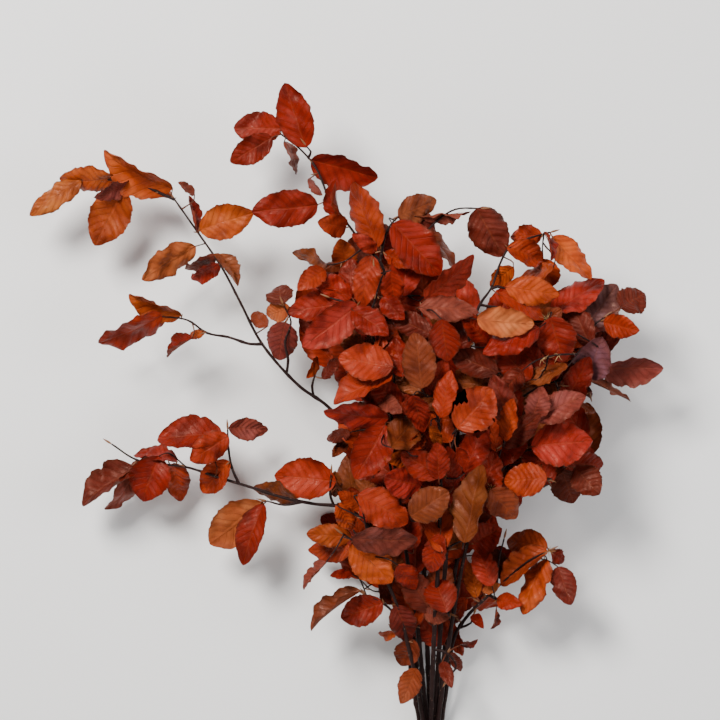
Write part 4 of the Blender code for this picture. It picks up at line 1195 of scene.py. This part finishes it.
def leaf_material():
    """Dry satin beech leaf: its own colour, blotches, dry edge, veins and paler underside."""
    colours = bpy.context.scene.beech_leaf_colours
    material, nodes = new_material("beech_leaf")
    colour = nodes.attribute("leaf_colour", "Color")
    under = nodes.attribute("leaf_under")
    seed = nodes.attribute("leaf_seed")
    midrib, side_veins, pleat, out = nodes.add("ShaderNodeGroup", node_tree=vein_group(),
                                               values={0: nodes.own_map()}).outputs
    shift = nodes.add("ShaderNodeCombineXYZ", {0: seed, 1: nodes.times(seed, 7.3)}).outputs[0]
    shifted = nodes.add("ShaderNodeVectorMath", {0: nodes.place(), 1: shift}, operation="ADD").outputs[0]
    wide = nodes.noise(shifted, 45.0, 3.0, 0.5)
    small = nodes.noise(shifted, 190.0, 4.0, 0.6)
    fleck = nodes.noise(shifted, 720.0, 2.0, 0.5)
    # Blotches, the dry edge, flecks, and painted shade along the side veins in the grooves of the pleats
    lighter = nodes.mix(1.0, colour, (1.3, 1.75, 2.2), "MULTIPLY")
    darker = nodes.mix(1.0, colour, (0.45, 0.36, 0.42), "MULTIPLY")
    base = nodes.mix(nodes.between(wide, 0.48, 0.68, 0.0, 0.8), colour, lighter)
    base = nodes.mix(nodes.between(wide, 0.5, 0.3, 0.0, 0.85), base, darker)
    base = nodes.mix(nodes.between(small, 0.52, 0.78, 0.0, 0.4), base, darker)
    to_edge = nodes.times(nodes.between(out, 0.78, 1.0), nodes.between(small, 0.35, 0.62))
    base = nodes.mix(nodes.times(to_edge, 0.7), base, colours.edge)
    base = nodes.mix(nodes.between(fleck, 0.69, 0.76, 0.0, 0.75), base, colours.edge)
    # Painted shade: darker along the side veins, where the pleats' grooves lie, fading out between them
    base = nodes.mix(nodes.between(pleat, 0.0, 1.0, 0.28, 0.0), base, darker)

    def veins(side_share, strength):
        return nodes.times(nodes.maths("MAXIMUM", midrib, nodes.times(side_veins, side_share)), strength)

    top = nodes.mix(veins(0.4, 0.2), base, nodes.mix(0.5, colours.vein, colour))
    low = nodes.mix(veins(0.7, 0.42), nodes.mix(0.2, base, colours.underside), colours.vein)
    rough = nodes.plus(nodes.between(small, 0.3, 0.7, 0.32, 0.5), nodes.times(under, 0.18))
    # A net of fine veins, and the veins sunk in the top and raised on the underside
    net = nodes.add("ShaderNodeTexVoronoi", {"Vector": shifted, "Scale": 620.0}, feature="DISTANCE_TO_EDGE")
    fine = nodes.plus(nodes.times(nodes.between(net.outputs[0], 0.0, 0.12), 0.22), nodes.times(small, 0.5))
    raised = nodes.times(nodes.maths("MAXIMUM", midrib, side_veins),
                         nodes.maths("MULTIPLY_ADD", under, 1.8, -0.8))
    nodes.surface(nodes.mix(under, top, low), rough, Specular_IOR_Level=0.27,
                  Specular_Tint=(1.0, 0.55, 0.42), Normal=nodes.bump(nodes.plus(fine, raised), 0.6, 0.0008))
    return material


def bark_material():
    """Near-black purple-brown bark with a paler bloom, fine cracks and pale breathing spots."""
    wood = bpy.context.scene.beech_wood_settings
    material, nodes = new_material("beech_bark")
    place = nodes.place()
    wide = nodes.noise(place, 60.0, 4.0, 0.6)
    fine = nodes.noise(place, 900.0, 3.0, 0.6)
    spots = nodes.add("ShaderNodeTexVoronoi", {"Vector": place, "Scale": 210.0})
    dots = nodes.between(spots.outputs["Distance"], 0.1, 0.2, 0.8, 0.0)
    base = nodes.mix(nodes.between(wide, 0.42, 0.7, 0.0, 0.8), wood.bark, wood.bark_light)
    base = nodes.mix(nodes.between(fine, 0.4, 0.7, 0.0, 0.4), base, (0.01, 0.006, 0.006))
    base = nodes.mix(dots, base, (0.11, 0.06, 0.045))
    nodes.surface(base, nodes.between(fine, 0.3, 0.7, 0.5, 0.75), Specular_IOR_Level=0.25,
                  Specular_Tint=(1.0, 0.75, 0.7),
                  Normal=nodes.bump(nodes.plus(nodes.times(fine, 0.6), dots), 0.6, 0.0005))
    return material


def stalk_material():
    """Red-brown leaf stalks, browner in places."""
    wood = bpy.context.scene.beech_wood_settings
    material, nodes = new_material("beech_stalk")
    place = nodes.place()
    wide = nodes.noise(place, 120.0, 3.0, 0.6)
    fine = nodes.noise(place, 1400.0, 3.0, 0.6)
    base = nodes.mix(nodes.between(wide, 0.38, 0.66, 0.0, 0.85), wood.stalk, wood.bark)
    nodes.surface(base, nodes.between(fine, 0.3, 0.7, 0.42, 0.66), Specular_IOR_Level=0.2,
                  Specular_Tint=(1.0, 0.55, 0.42), Normal=nodes.bump(fine, 0.4, 0.0003))
    return material


def cut_material():
    """Pale cut wood with fine rings round a dark pith and a dark rim of bark."""
    wood = bpy.context.scene.beech_wood_settings
    material, nodes = new_material("beech_cut_wood")
    own_map = nodes.own_map()
    centred = nodes.add("ShaderNodeVectorMath", {0: own_map, 1: (0.5, 0.5, 0.0)}, operation="SUBTRACT")
    radius = nodes.add("ShaderNodeVectorMath", {0: centred.outputs[0]}, operation="LENGTH").outputs["Value"]
    rings = nodes.maths("FRACT", nodes.plus(nodes.times(radius, 9.0), nodes.noise(own_map, 7.0, 2.0)))
    base = nodes.mix(nodes.between(rings, 0.2, 0.9, 0.0, 0.45), wood.cut, (0.4, 0.22, 0.1))
    base = nodes.mix(nodes.between(radius, 0.03, 0.07, 0.85, 0.0), base, (0.16, 0.08, 0.04))
    base = nodes.mix(nodes.between(radius, 0.41, 0.45), base, wood.bark)
    nodes.surface(base, 0.8, Normal=nodes.bump(rings, 0.3, 0.0003))
    return material


def bud_material():
    """Chestnut buds in overlapping scales."""
    wood = bpy.context.scene.beech_wood_settings
    material, nodes = new_material("beech_bud")
    parts = nodes.add("ShaderNodeSeparateXYZ", {0: nodes.own_map()}).outputs
    spiral = nodes.maths("FRACT", nodes.plus(nodes.times(parts[1], 6.0), nodes.times(parts[0], 2.0)))
    base = nodes.mix(nodes.between(spiral, 0.75, 1.0), wood.bud, (0.05, 0.022, 0.014))
    nodes.surface(base, 0.5, Normal=nodes.bump(spiral, 0.6, 0.0003))
    return material


def scale_material():
    """Straw-coloured papery bud scales, darker in streaks."""
    wood = bpy.context.scene.beech_wood_settings
    material, nodes = new_material("beech_bud_scale")
    streaks = nodes.noise(nodes.place(), 700.0, 2.0)
    base = nodes.mix(nodes.between(streaks, 0.4, 0.65, 0.0, 0.6), wood.straw, (0.2, 0.09, 0.03))
    nodes.surface(base, 0.7, Normal=nodes.bump(streaks, 0.3, 0.0002))
    return material


def twine_material():
    """Dry jute with fine fibres along each strand."""
    wood = bpy.context.scene.beech_wood_settings
    material, nodes = new_material("jute_twine")
    stretched = nodes.add("ShaderNodeMapping", {0: nodes.own_map(), 3: (60.0, 14.0, 1.0)}).outputs[0]
    fibres = nodes.noise(stretched, 3.0, 4.0, 0.7)
    wide = nodes.noise(nodes.place(), 260.0, 3.0)
    base = nodes.mix(nodes.between(fibres, 0.35, 0.65, 0.0, 0.7), wood.twine, (0.2, 0.11, 0.045))
    base = nodes.mix(nodes.between(wide, 0.5, 0.7, 0.0, 0.5), base, (0.62, 0.48, 0.28))
    nodes.surface(base, 0.9, Sheen_Weight=0.3, Normal=nodes.bump(fibres, 0.8, 0.0004))
    return material


# Pieces


def deselect():
    """Leaves object mode clean before a new piece is added."""
    if bpy.context.object and bpy.context.object.mode != "OBJECT":
        bpy.ops.object.mode_set(mode="OBJECT")
    bpy.ops.object.select_all(action="DESELECT")


def edit_all(step, **settings):
    """Runs one editing step on the whole of the present object's mesh."""
    bpy.ops.object.mode_set(mode="EDIT")
    bpy.ops.mesh.select_all(action="SELECT")
    step(**settings)
    bpy.ops.object.mode_set(mode="OBJECT")


def add_object(name, data):
    """A new object in the scene."""
    made = bpy.data.objects.new(name, data)
    bpy.context.scene.collection.objects.link(made)
    return made


def join_copies(copies, name):
    """Joins copies into one named piece."""
    deselect()
    for copy in copies:
        copy.select_set(True)
    bpy.context.view_layer.objects.active = copies[0]
    if len(copies) > 1:
        bpy.ops.object.join()
    piece = bpy.context.view_layer.objects.active
    piece.name = name
    piece.data.name = name
    return piece


def belongs(piece, node, material):
    """Gives a piece its material, fixes it to the part and hides the node that it stands for."""
    piece.data.materials.clear()
    piece.data.materials.append(material)
    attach(piece, "root")
    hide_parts(node)


def blade_pattern():
    """A flat blade modelled once: a finely cut square sheet with two faces, from 0 to 1 along X."""
    sizes = bpy.context.scene.beech_leaf_settings
    deselect()
    bpy.ops.mesh.primitive_grid_add(x_subdivisions=sizes.strips, y_subdivisions=sizes.rows, size=1.0,
                                    location=(0.5, 0.0, 0.0))
    pattern = bpy.context.object
    edit_all(bpy.ops.transform.resize, value=(1.0, 2.0, 1.0))
    bpy.ops.object.transform_apply(location=True, rotation=True, scale=True)
    shell = pattern.modifiers.new("Shell", "SOLIDIFY")
    shell.thickness = 1.0
    shell.offset = 1.0
    bpy.ops.object.modifier_apply(modifier="Shell")
    return pattern


def blade_places(blade, pattern_places, draw):
    """The fine blade's points: the solid's own form with pleats, teeth, short waves and nibbles."""
    sizes = bpy.context.scene.beech_leaf_settings
    share = np.clip(pattern_places[:, 0], 0.0, 1.0)
    across = pattern_places[:, 1]
    out = np.abs(across)
    left = across < 0
    # The outline: an oval with shallow uneven teeth, and now and then a bite out of its margin
    oval = np.maximum(np.sin(math.pi * share ** 0.9), 0.0) ** blade.round * (1 - 0.2 * share ** 5)
    phase = math.tau * sizes.vein_pairs * (share - VEIN_SLANT * out)
    hand = np.where(left, 2.1, 0.0)
    uneven = (0.6 * np.sin(phase * 2 + 1.3 + hand) + np.sin(math.tau * 5.3 * share + blade.phase + hand * 2)
              + 0.7 * np.sin(math.tau * 9.7 * share + blade.phase * 3 + hand))
    teeth = 1 + sizes.tooth * uneven * out ** 4
    for _ in range(blade.nibbles):
        centre, depth, wide = draw.uniform(0.3, 0.95), draw.uniform(0.08, 0.24), draw.uniform(0.03, 0.07)
        bite = depth * np.exp(-((share - centre) / wide) ** 2) * (across * draw.choice((-1, 1)) > 0)
        teeth = teeth * (1 - bite)
    half = np.maximum(blade.half * oval * teeth, np.where(share < 0.5, 0.55, 0.12))
    reach = half * across
    # The solid's own form: arched, folded, cupped and waved
    turn = blade.twist * (share - 0.5)
    side = np.outer(np.cos(turn), blade.side) + np.outer(np.sin(turn), blade.normal)
    facing = np.outer(np.cos(turn), blade.normal) - np.outer(np.sin(turn), blade.side)
    height = blade.arch * blade.length * 4 * share * (1 - share)
    height = height + np.abs(reach) * math.sin(blade.fold) + blade.cup * half * across ** 2
    ripple = np.sin(math.tau * 1.6 * share + blade.phase + np.where(left, 1.9, 0.0))
    height = height + blade.wave * blade.length * ripple * np.sin(math.pi * share) * across ** 2
    # Pleats between the side veins, short waves of the margin, its curl, crumples and a drooping tip
    body = np.sin(math.pi * np.clip(share, 0.02, 0.98)) ** 0.5
    pleats = np.cos(phase) * body * np.minimum(1.0, out * 4) * (1 - 0.4 * out)
    height = height + blade.pleat * sizes.pleat / MM * pleats
    short = np.sin(math.tau * 4.3 * share + blade.phase * 2 + np.where(left, 2.4, 0.0))
    height = height + sizes.edge_wave * blade.length * short * body * out ** 4
    height = height + blade.curl * half * out ** 3 * body
    rolling = np.sin(math.tau * (1.3 * share + 0.35 * across) + blade.phase * 1.7)
    rolling = rolling + 0.7 * np.sin(math.tau * (2.4 * share - 0.6 * across) + blade.phase * 2.9)
    height = height + blade.crumple * blade.length * rolling * body * np.minimum(1.0, out * 2 + 0.2)
    height = height - blade.droop * blade.length * np.clip(share - 0.6, 0, 1) ** 2
    height = height + (pattern_places[:, 2] - 0.5) * sizes.thickness / MM
    places = (np.array(blade.base)[None] + np.array(blade.along)[None] * (blade.length * share)[:, None]
              + side * (reach * math.cos(blade.fold))[:, None] + facing * height[:, None])
    lowest = np.where(pattern_places[:, 2] > 0.5, 0.35, 0.05)
    places[:, 2] = np.maximum(places[:, 2], lowest)
    return (places - np.array(BUNCH["centre"])[None]) * MM


def dress_leaf(pattern, pattern_places, blade, number):
    """A copy of the pattern with its own mesh, shaped and coloured as one leaf."""
    draw = random.Random(LEAF_SEED + number)
    blade.nibbles = draw.choice((0, 0, 0, 0, 0, 0, 1, 1))
    blade.curl = draw.choice((0.0, 0.12, -0.16, 0.3, -0.3))
    blade.droop = draw.uniform(-0.1, 0.35)
    blade.crumple = draw.uniform(0.012, 0.042)
    blade.pleat = draw.uniform(0.25, 1.15)
    blade.round = draw.uniform(0.5, 0.68)
    if blade.fold == 0.0:
        blade.curl = blade.droop = blade.crumple = 0.0
    mesh = pattern.data.copy()
    set_places(mesh, blade_places(blade, pattern_places, draw))
    red, green, blue = getattr(bpy.context.scene.beech_leaf_colours, blade.tone)
    bright = draw.uniform(0.82, 1.18)
    warm = draw.uniform(0.85, 1.2)
    own = (red * bright, green * bright * warm, blue * bright, 1.0)
    flipped = blade.normal.z < 0 or blade.tone == "T"
    count = len(mesh.vertices)
    for name, kind, field, values in (
            ("leaf_colour", "FLOAT_COLOR", "color", np.tile(own, count)),
            ("leaf_under", "FLOAT", "value", (pattern_places[:, 2] < 0.5) != flipped),
            ("leaf_seed", "FLOAT", "value", np.full(count, draw.random() * 3))):
        mesh.attributes.new(name, kind, "POINT").data.foreach_set(field, values.astype(np.float32))
    return add_object("leaf", mesh)


def pattern_map(mesh, places):
    """Lays the pattern's own map out: along the blade and across it."""
    layer = mesh.uv_layers.get("UVMap") or mesh.uv_layers.new(name="UVMap")
    corners = np.empty(len(mesh.loops), np.int32)
    mesh.loops.foreach_get("vertex_index", corners)
    spread = np.stack([places[corners, 0], places[corners, 1] / 2 + 0.5], axis=1)
    layer.data.foreach_set("uv", spread.astype(np.float32).ravel())


class BEECH_OT_leaves(bpy.types.Operator):
    """Adds every branch's fine leaves."""

    bl_idname = "beech.leaves"
    bl_label = "Leaves"

    def execute(self, context):
        material = leaf_material()
        pattern = blade_pattern()
        places = mesh_places(pattern.data)
        places[:, 2] = places[:, 2] > places[:, 2].mean()
        pattern_map(pattern.data, places)
        numbers = itertools.count(1)
        for grown in grown_branches():
            copies = [dress_leaf(pattern, places, blade, next(numbers)) for blade in grown.blades]
            piece = join_copies(copies, grown.branch.name + "_leaves")
            bpy.ops.object.shade_smooth_by_angle(angle=math.radians(50))
            belongs(piece, grown.branch.name, material)
        bpy.data.objects.remove(pattern)
        return {"FINISHED"}


def round_wood(name, routes, sides):
    """Round wood along routes: one smooth tapering spline for each, made a mesh."""
    curve = bpy.data.curves.new(name, "CURVE")
    curve.dimensions = "3D"
    curve.bevel_depth = MM
    curve.bevel_resolution = sides
    curve.use_fill_caps = True
    for places, radii in routes:
        spline = curve.splines.new("POLY")
        spline.points.add(len(places) - 1)
        for point, place, radius in zip(spline.points, in_metres(places), radii):
            point.co = (*place, 1.0)
            point.radius = radius
    deselect()
    made = add_object(name, curve)
    made.select_set(True)
    bpy.context.view_layer.objects.active = made
    bpy.ops.object.convert(target="MESH")
    set_places(made.data, mesh_places(made.data))
    bpy.ops.object.shade_smooth_by_angle(angle=math.radians(60))
    return made


def knotty(route, start, end, draw, spacing):
    """A route cut finely, with radii from start to end and a swelling at each node of the twig."""
    fine = smooth_route(route, KNOTTY_STEP) if len(route) > 2 else fine_points(route, KNOTTY_STEP)
    ways = travelled(fine)
    shift = draw.uniform(0, spacing)
    sizes = []
    for way in ways:
        near = abs((way + shift) % spacing - spacing / 2)
        swell = 1 + 0.26 * math.exp(-(near / 2.2) ** 2) + 0.05 * math.sin(way * 0.9 + shift)
        sizes.append((start + (end - start) * way / ways[-1]) * swell)
    return fine, sizes


class BEECH_OT_wood(bpy.types.Operator):
    """Adds every branch's stem and twigs, and the stalks and midribs of its leaves."""

    bl_idname = "beech.wood"
    bl_label = "Stems, twigs and stalks"

    def execute(self, context):
        bark, stalk = bark_material(), stalk_material()
        for grown in grown_branches():
            twigs, stalks = self.routes(grown)
            name = grown.branch.name
            belongs(round_wood(name + "_twigs", twigs, 3), name, bark)
            belongs(round_wood(name + "_stalks", stalks, 1), name, stalk)
        return {"FINISHED"}

    @staticmethod
    def routes(grown):
        """The routes and radii of a branch's twigs, and of its stalks and midribs."""
        draw = random.Random(WOOD_SEED + grown.number)
        foot, above = grown.route[:2]
        stem = [foot + (above - foot).normalized() * FOOT_INSET, *grown.route[1:]]
        twigs = [knotty(stem, STEM_RADIUS, STEM_TIP_RADIUS, draw, STEM_KNOTS)]
        count = len(grown.branch.twigs)
        for route in grown.stalks[:count]:
            twigs.append(knotty(route, TWIG_RADIUS, TWIG_TIP_RADIUS * 0.9, draw, TWIG_KNOTS))
        stalks = []
        for route, blade in zip(grown.stalks[count:], grown.blades):
            gap = travelled(route)[-1]
            thick = STALK_RADII[0] + LONG_SHOOT_RADIUS * min(gap / LONG_SHOOT, 1.0)
            fine, sizes = knotty(route, thick, STALK_RADII[1], draw, STALK_KNOTS)
            rib = [blade.at(share, 0) - blade.normal * RIB_DEPTH for share in RIB_SHARES]
            for place in rib:
                place.z = max(place.z, RIB_LOWEST)
            if gap > WOODY_STALK:
                twigs.append((fine, sizes))
                stalks.append((rib, RIB_RADII))
            else:
                stalks.append((fine + rib[1:], [*sizes, *RIB_RADII[1:]]))
        return twigs, stalks


class BEECH_OT_buds(bpy.types.Operator):
    """Adds the long pointed buds at the twigs' tips and in the angles of the leaf stalks."""

    bl_idname = "beech.buds"
    bl_label = "Buds"

    def execute(self, context):
        material = bud_material()
        reach = context.scene.beech_wood_settings.bud_length
        deselect()
        bpy.ops.mesh.primitive_uv_sphere_add(segments=8, ring_count=8, radius=1.0)
        pattern = context.object
        bpy.ops.object.shade_smooth()
        places = mesh_places(pattern.data)
        along = places[:, 2] / 2 + 0.5
        places[:, :2] *= (1 - 0.55 * along ** 1.5)[:, None]
        places[:, 2] = along
        for grown in grown_branches():
            copies = []
            for root, ahead, size in self.seats(grown):
                mesh = pattern.data.copy()
                turn = np.array(ahead.to_track_quat("Z", "Y").to_matrix())
                shaped = places * np.array((BUD_RADIUS * size, BUD_RADIUS * size, reach * size))
                turned = shaped @ turn.T + in_metres([root])[0]
                turned[:, 2] = np.maximum(turned[:, 2], BUD_LOWEST)
                set_places(mesh, turned)
                copies.append(add_object("bud", mesh))
            belongs(join_copies(copies, grown.branch.name + "_buds"), grown.branch.name, material)
        bpy.data.objects.remove(pattern)
        return {"FINISHED"}

    @staticmethod
    def seats(grown):
        """The root, direction and size of each bud of a branch."""
        draw = random.Random(BUD_SEED + grown.number)
        count = len(grown.branch.twigs)
        seats = [(route[-1], (route[-1] - route[-2]).normalized(), TIP_BUD)
                 for route in [grown.route, *grown.stalks[:count]]]
        for route in grown.stalks[count:]:
            if draw.random() < BUD_SHARE:
                ahead = (route[1] - route[0]).normalized()
                tilt = Vector((draw.uniform(-1, 1), draw.uniform(-1, 1), draw.uniform(0, 1)))
                seats.append((route[0] + ahead * 1.2, (ahead + tilt * 0.7).normalized(),
                              draw.uniform(0.55, 0.95)))
        return seats


class BEECH_OT_bud_scales(bpy.types.Operator):
    """Adds the clusters of pale, papery scales that stay on the twigs after the buds open."""

    bl_idname = "beech.bud_scales"
    bl_label = "Bud scales"

    def execute(self, context):
        material = scale_material()
        deselect()
        bpy.ops.mesh.primitive_cone_add(vertices=5, radius1=SCALE_RADIUS, radius2=0.0, depth=1.0,
                                        location=(0.0, 0.0, 0.5))
        bpy.ops.object.transform_apply(location=True, rotation=False, scale=False)
        pattern = context.object
        edit_all(bpy.ops.mesh.subdivide, number_cuts=2)
        places = mesh_places(pattern.data)
        clusters = {}
        for k, (across, down) in enumerate(SCALES):
            draw = random.Random(SCALE_SEED + k)
            flat = Vector((across, -down))
            grown = min(grown_branches(), key=lambda one: min((place.xy - flat).length for place in one.wood))
            near = [place for place in grown.wood if (place.xy - flat).length < SCALE_REACH]
            seat = max(near or grown.wood, key=lambda place: place.z - (place.xy - flat).length)
            for _ in range(SCALE_COUNT):
                ahead = Vector((draw.uniform(-1, 1), draw.uniform(-1, 1), draw.uniform(0.2, 1.2)))
                turn = np.array(ahead.normalized().to_track_quat("Z", "Y").to_matrix())
                shaped = places * np.array((1.0, 1.0, draw.uniform(*SCALE_LENGTHS)))
                shaped[:, 0] += SCALE_BEND * places[:, 2] ** 2
                mesh = pattern.data.copy()
                set_places(mesh, shaped @ turn.T + in_metres([seat])[0])
                clusters.setdefault(grown.branch.name, []).append(add_object("scale", mesh))
        for name, copies in clusters.items():
            belongs(join_copies(copies, name + "_bud_scales"), name, material)
        bpy.data.objects.remove(pattern)
        return {"FINISHED"}


class BEECH_OT_cut_ends(bpy.types.Operator):
    """Adds the pale cut face at the foot of every stem."""

    bl_idname = "beech.cut_ends"
    bl_label = "Cut ends"

    def execute(self, context):
        material = cut_material()
        for grown in grown_branches():
            foot, above = in_metres(grown.route[:2])
            ahead = Vector(foot - above).normalized()
            deselect()
            bpy.ops.mesh.primitive_circle_add(vertices=24, radius=CUT_RADIUS, fill_type="NGON")
            piece = context.object
            piece.name = grown.branch.name + "_cut_end"
            edit_all(bpy.ops.mesh.extrude_region_move, TRANSFORM_OT_translate={"value": (0, 0, CUT_DEPTH)})
            piece.location = foot - np.array(ahead) * CUT_INSET
            piece.rotation_mode = "QUATERNION"
            piece.rotation_quaternion = ahead.to_track_quat("Z", "Y")
            bpy.ops.object.transform_apply(location=True, rotation=True, scale=True)
            set_places(piece.data, mesh_places(piece.data))
            self.lay_map(piece.data, Vector(foot), ahead)
            bpy.ops.object.shade_smooth_by_angle(angle=math.radians(40))
            belongs(piece, grown.branch.name, material)
        return {"FINISHED"}

    @staticmethod
    def lay_map(mesh, foot, ahead):
        """Lays the cut face's own map out flat, with its middle at the pith."""
        side = ahead.orthogonal().normalized()
        other = ahead.cross(side)
        layer = mesh.uv_layers.get("UVMap") or mesh.uv_layers.new(name="UVMap")
        width = 2.2 * STEM_RADIUS * MM
        for loop in mesh.loops:
            way = mesh.vertices[loop.vertex_index].co - foot
            layer.data[loop.index].uv = (0.5 + way.dot(side) / width, 0.5 + way.dot(other) / width)


def twine_path():
    """The twine's line: its turns round the stems, ending below the knot."""
    corners = tie_outline(STEM_RADIUS + TWINE_GAP + TWINE_RADIUS)
    count = len(corners)
    steps = (TWINE_TURNS - 1) * count + count // 2
    start = (TIE_TOP + TIE_BOTTOM - TWINE_TURNS * TWINE_RADIUS * 2) / 2 + TWINE_RADIUS
    path = []
    for k in range(steps + 4):
        corner = corners[(count // 4 + k) % count]
        path.append(spot(corner.x, start + (TWINE_TURNS - 1) * TWINE_RADIUS * 2 * k / steps, corner.y))
    return path


class BEECH_OT_tie(bpy.types.Operator):
    """Adds the twine round the stems, in three twisted strands, with its knot and ends."""

    bl_idname = "beech.tie"
    bl_label = "Twine"

    def execute(self, context):
        path = smooth_route(twine_path(), TWINE_STEP)
        middle = path[0] + Vector((0, 0, KNOT_HEIGHT))
        knot = []
        for k in range(KNOT_PLACES):
            angle = math.tau * 2 * k / KNOT_PLACES
            knot.append(middle + Vector((3.2 * math.cos(angle), 2.2 * math.sin(angle * 1.5),
                                         1.1 + 1.0 * math.sin(angle * 2 + 0.6))))
        ends = [smooth_route([middle + Vector(way) for way in ways], TWINE_STEP) for ways in TWINE_ENDS]
        strands = [self.strand(line, turn / 3) for line in [path, knot, *ends] for turn in range(3)]
        belongs(round_wood("tie_twine", strands, 2), "tie", twine_material())
        return {"FINISHED"}

    @staticmethod
    def strand(line, turn):
        """One of the strands twisted round a line, from a share of a turn, with its radii."""
        places = []
        for place, way, (one, other) in zip(line, travelled(line), frames(line, Vector((0, 1, 0)))):
            angle = math.tau * (way / TWINE_PITCH + turn)
            places.append(place + (one * math.cos(angle) + other * math.sin(angle)) * STRAND_OFFSET)
            places[-1].z = max(places[-1].z, STRAND_LOWEST)
        return places, [STRAND_RADIUS] * len(places)


class BEECH_OT_stage(bpy.types.Operator):
    """Adds the pale floor, the soft light and the camera that looks straight down."""

    bl_idname = "beech.stage"
    bl_label = "Stage"

    def execute(self, context):
        stage = context.scene.beech_stage_settings
        deselect()
        bpy.ops.mesh.primitive_plane_add(size=12.0, location=(0.0, 0.0, -0.0005))
        floor = context.object
        floor.name = "floor"
        material, nodes = new_material("pale_floor")
        nodes.surface(stage.floor, 0.9, Specular_IOR_Level=0.1)
        floor.data.materials.append(material)
        for name, place, size, power, warm in LIGHTS:
            light = bpy.data.lights.new(name, "AREA")
            light.size = size
            light.energy = power
            light.color = warm
            lamp = add_object(name, light)
            lamp.location = place
            lamp.rotation_euler = (-Vector(place)).to_track_quat("-Z", "Y").to_euler()
        world = bpy.data.worlds.new("soft_sky")
        world.use_nodes = True
        sky = world.node_tree.nodes["Background"].inputs
        sky[0].default_value = (1.0, 1.0, 1.0, 1.0)
        sky[1].default_value = SKY_STRENGTH
        context.scene.world = world
        view = bpy.data.cameras.new("camera")
        view.sensor_width = SENSOR_WIDTH
        view.lens = SENSOR_WIDTH * stage.camera_height / stage.picture_width
        view.clip_end = 30.0
        camera = add_object("camera", view)
        across, along, _ = in_metres([spot(*PHOTO_MIDDLE, 0.0)])[0]
        camera.location = (across, along, stage.middle_height + stage.camera_height)
        context.scene.camera = camera
        return {"FINISHED"}


class BEECH_PT_panel(bpy.types.Panel):
    """Lists the pieces and their sizes and colours."""

    bl_label = "Beech branch bunch"
    bl_idname = "BEECH_PT_panel"
    bl_space_type = "VIEW_3D"
    bl_region_type = "UI"
    bl_category = "Beech"

    def draw(self, context):
        for step in STEPS:
            self.layout.operator(step.bl_idname)
        for name, group in GROUPS:
            box = self.layout.box()
            for field in group.__annotations__:
                box.prop(getattr(context.scene, name), field)


STEPS = (
    BEECH_OT_leaves,
    BEECH_OT_wood,
    BEECH_OT_buds,
    BEECH_OT_bud_scales,
    BEECH_OT_cut_ends,
    BEECH_OT_tie,
    BEECH_OT_stage,
)
GROUPS = (
    ("beech_leaf_settings", BeechLeafSettings),
    ("beech_leaf_colours", BeechLeafColours),
    ("beech_wood_settings", BeechWoodSettings),
    ("beech_stage_settings", BeechStageSettings),
)


def register():
    """Registers the settings, the steps and the panel."""
    for name, group in GROUPS:
        bpy.utils.register_class(group)
        setattr(bpy.types.Scene, name, bpy.props.PointerProperty(type=group))
    for step in (*STEPS, BEECH_PT_panel):
        bpy.utils.register_class(step)


def unregister():
    """Takes the panel, the steps and the settings away again."""
    for step in (BEECH_PT_panel, *reversed(STEPS)):
        bpy.utils.unregister_class(step)
    for name, group in reversed(GROUPS):
        delattr(bpy.types.Scene, name)
        bpy.utils.unregister_class(group)


def main():
    """Runs every step."""
    register()
    grown_branches()
    for step in STEPS:
        area, name = step.bl_idname.split(".")
        getattr(getattr(bpy.ops, area), name)()


if __name__ == "__main__":
    main()
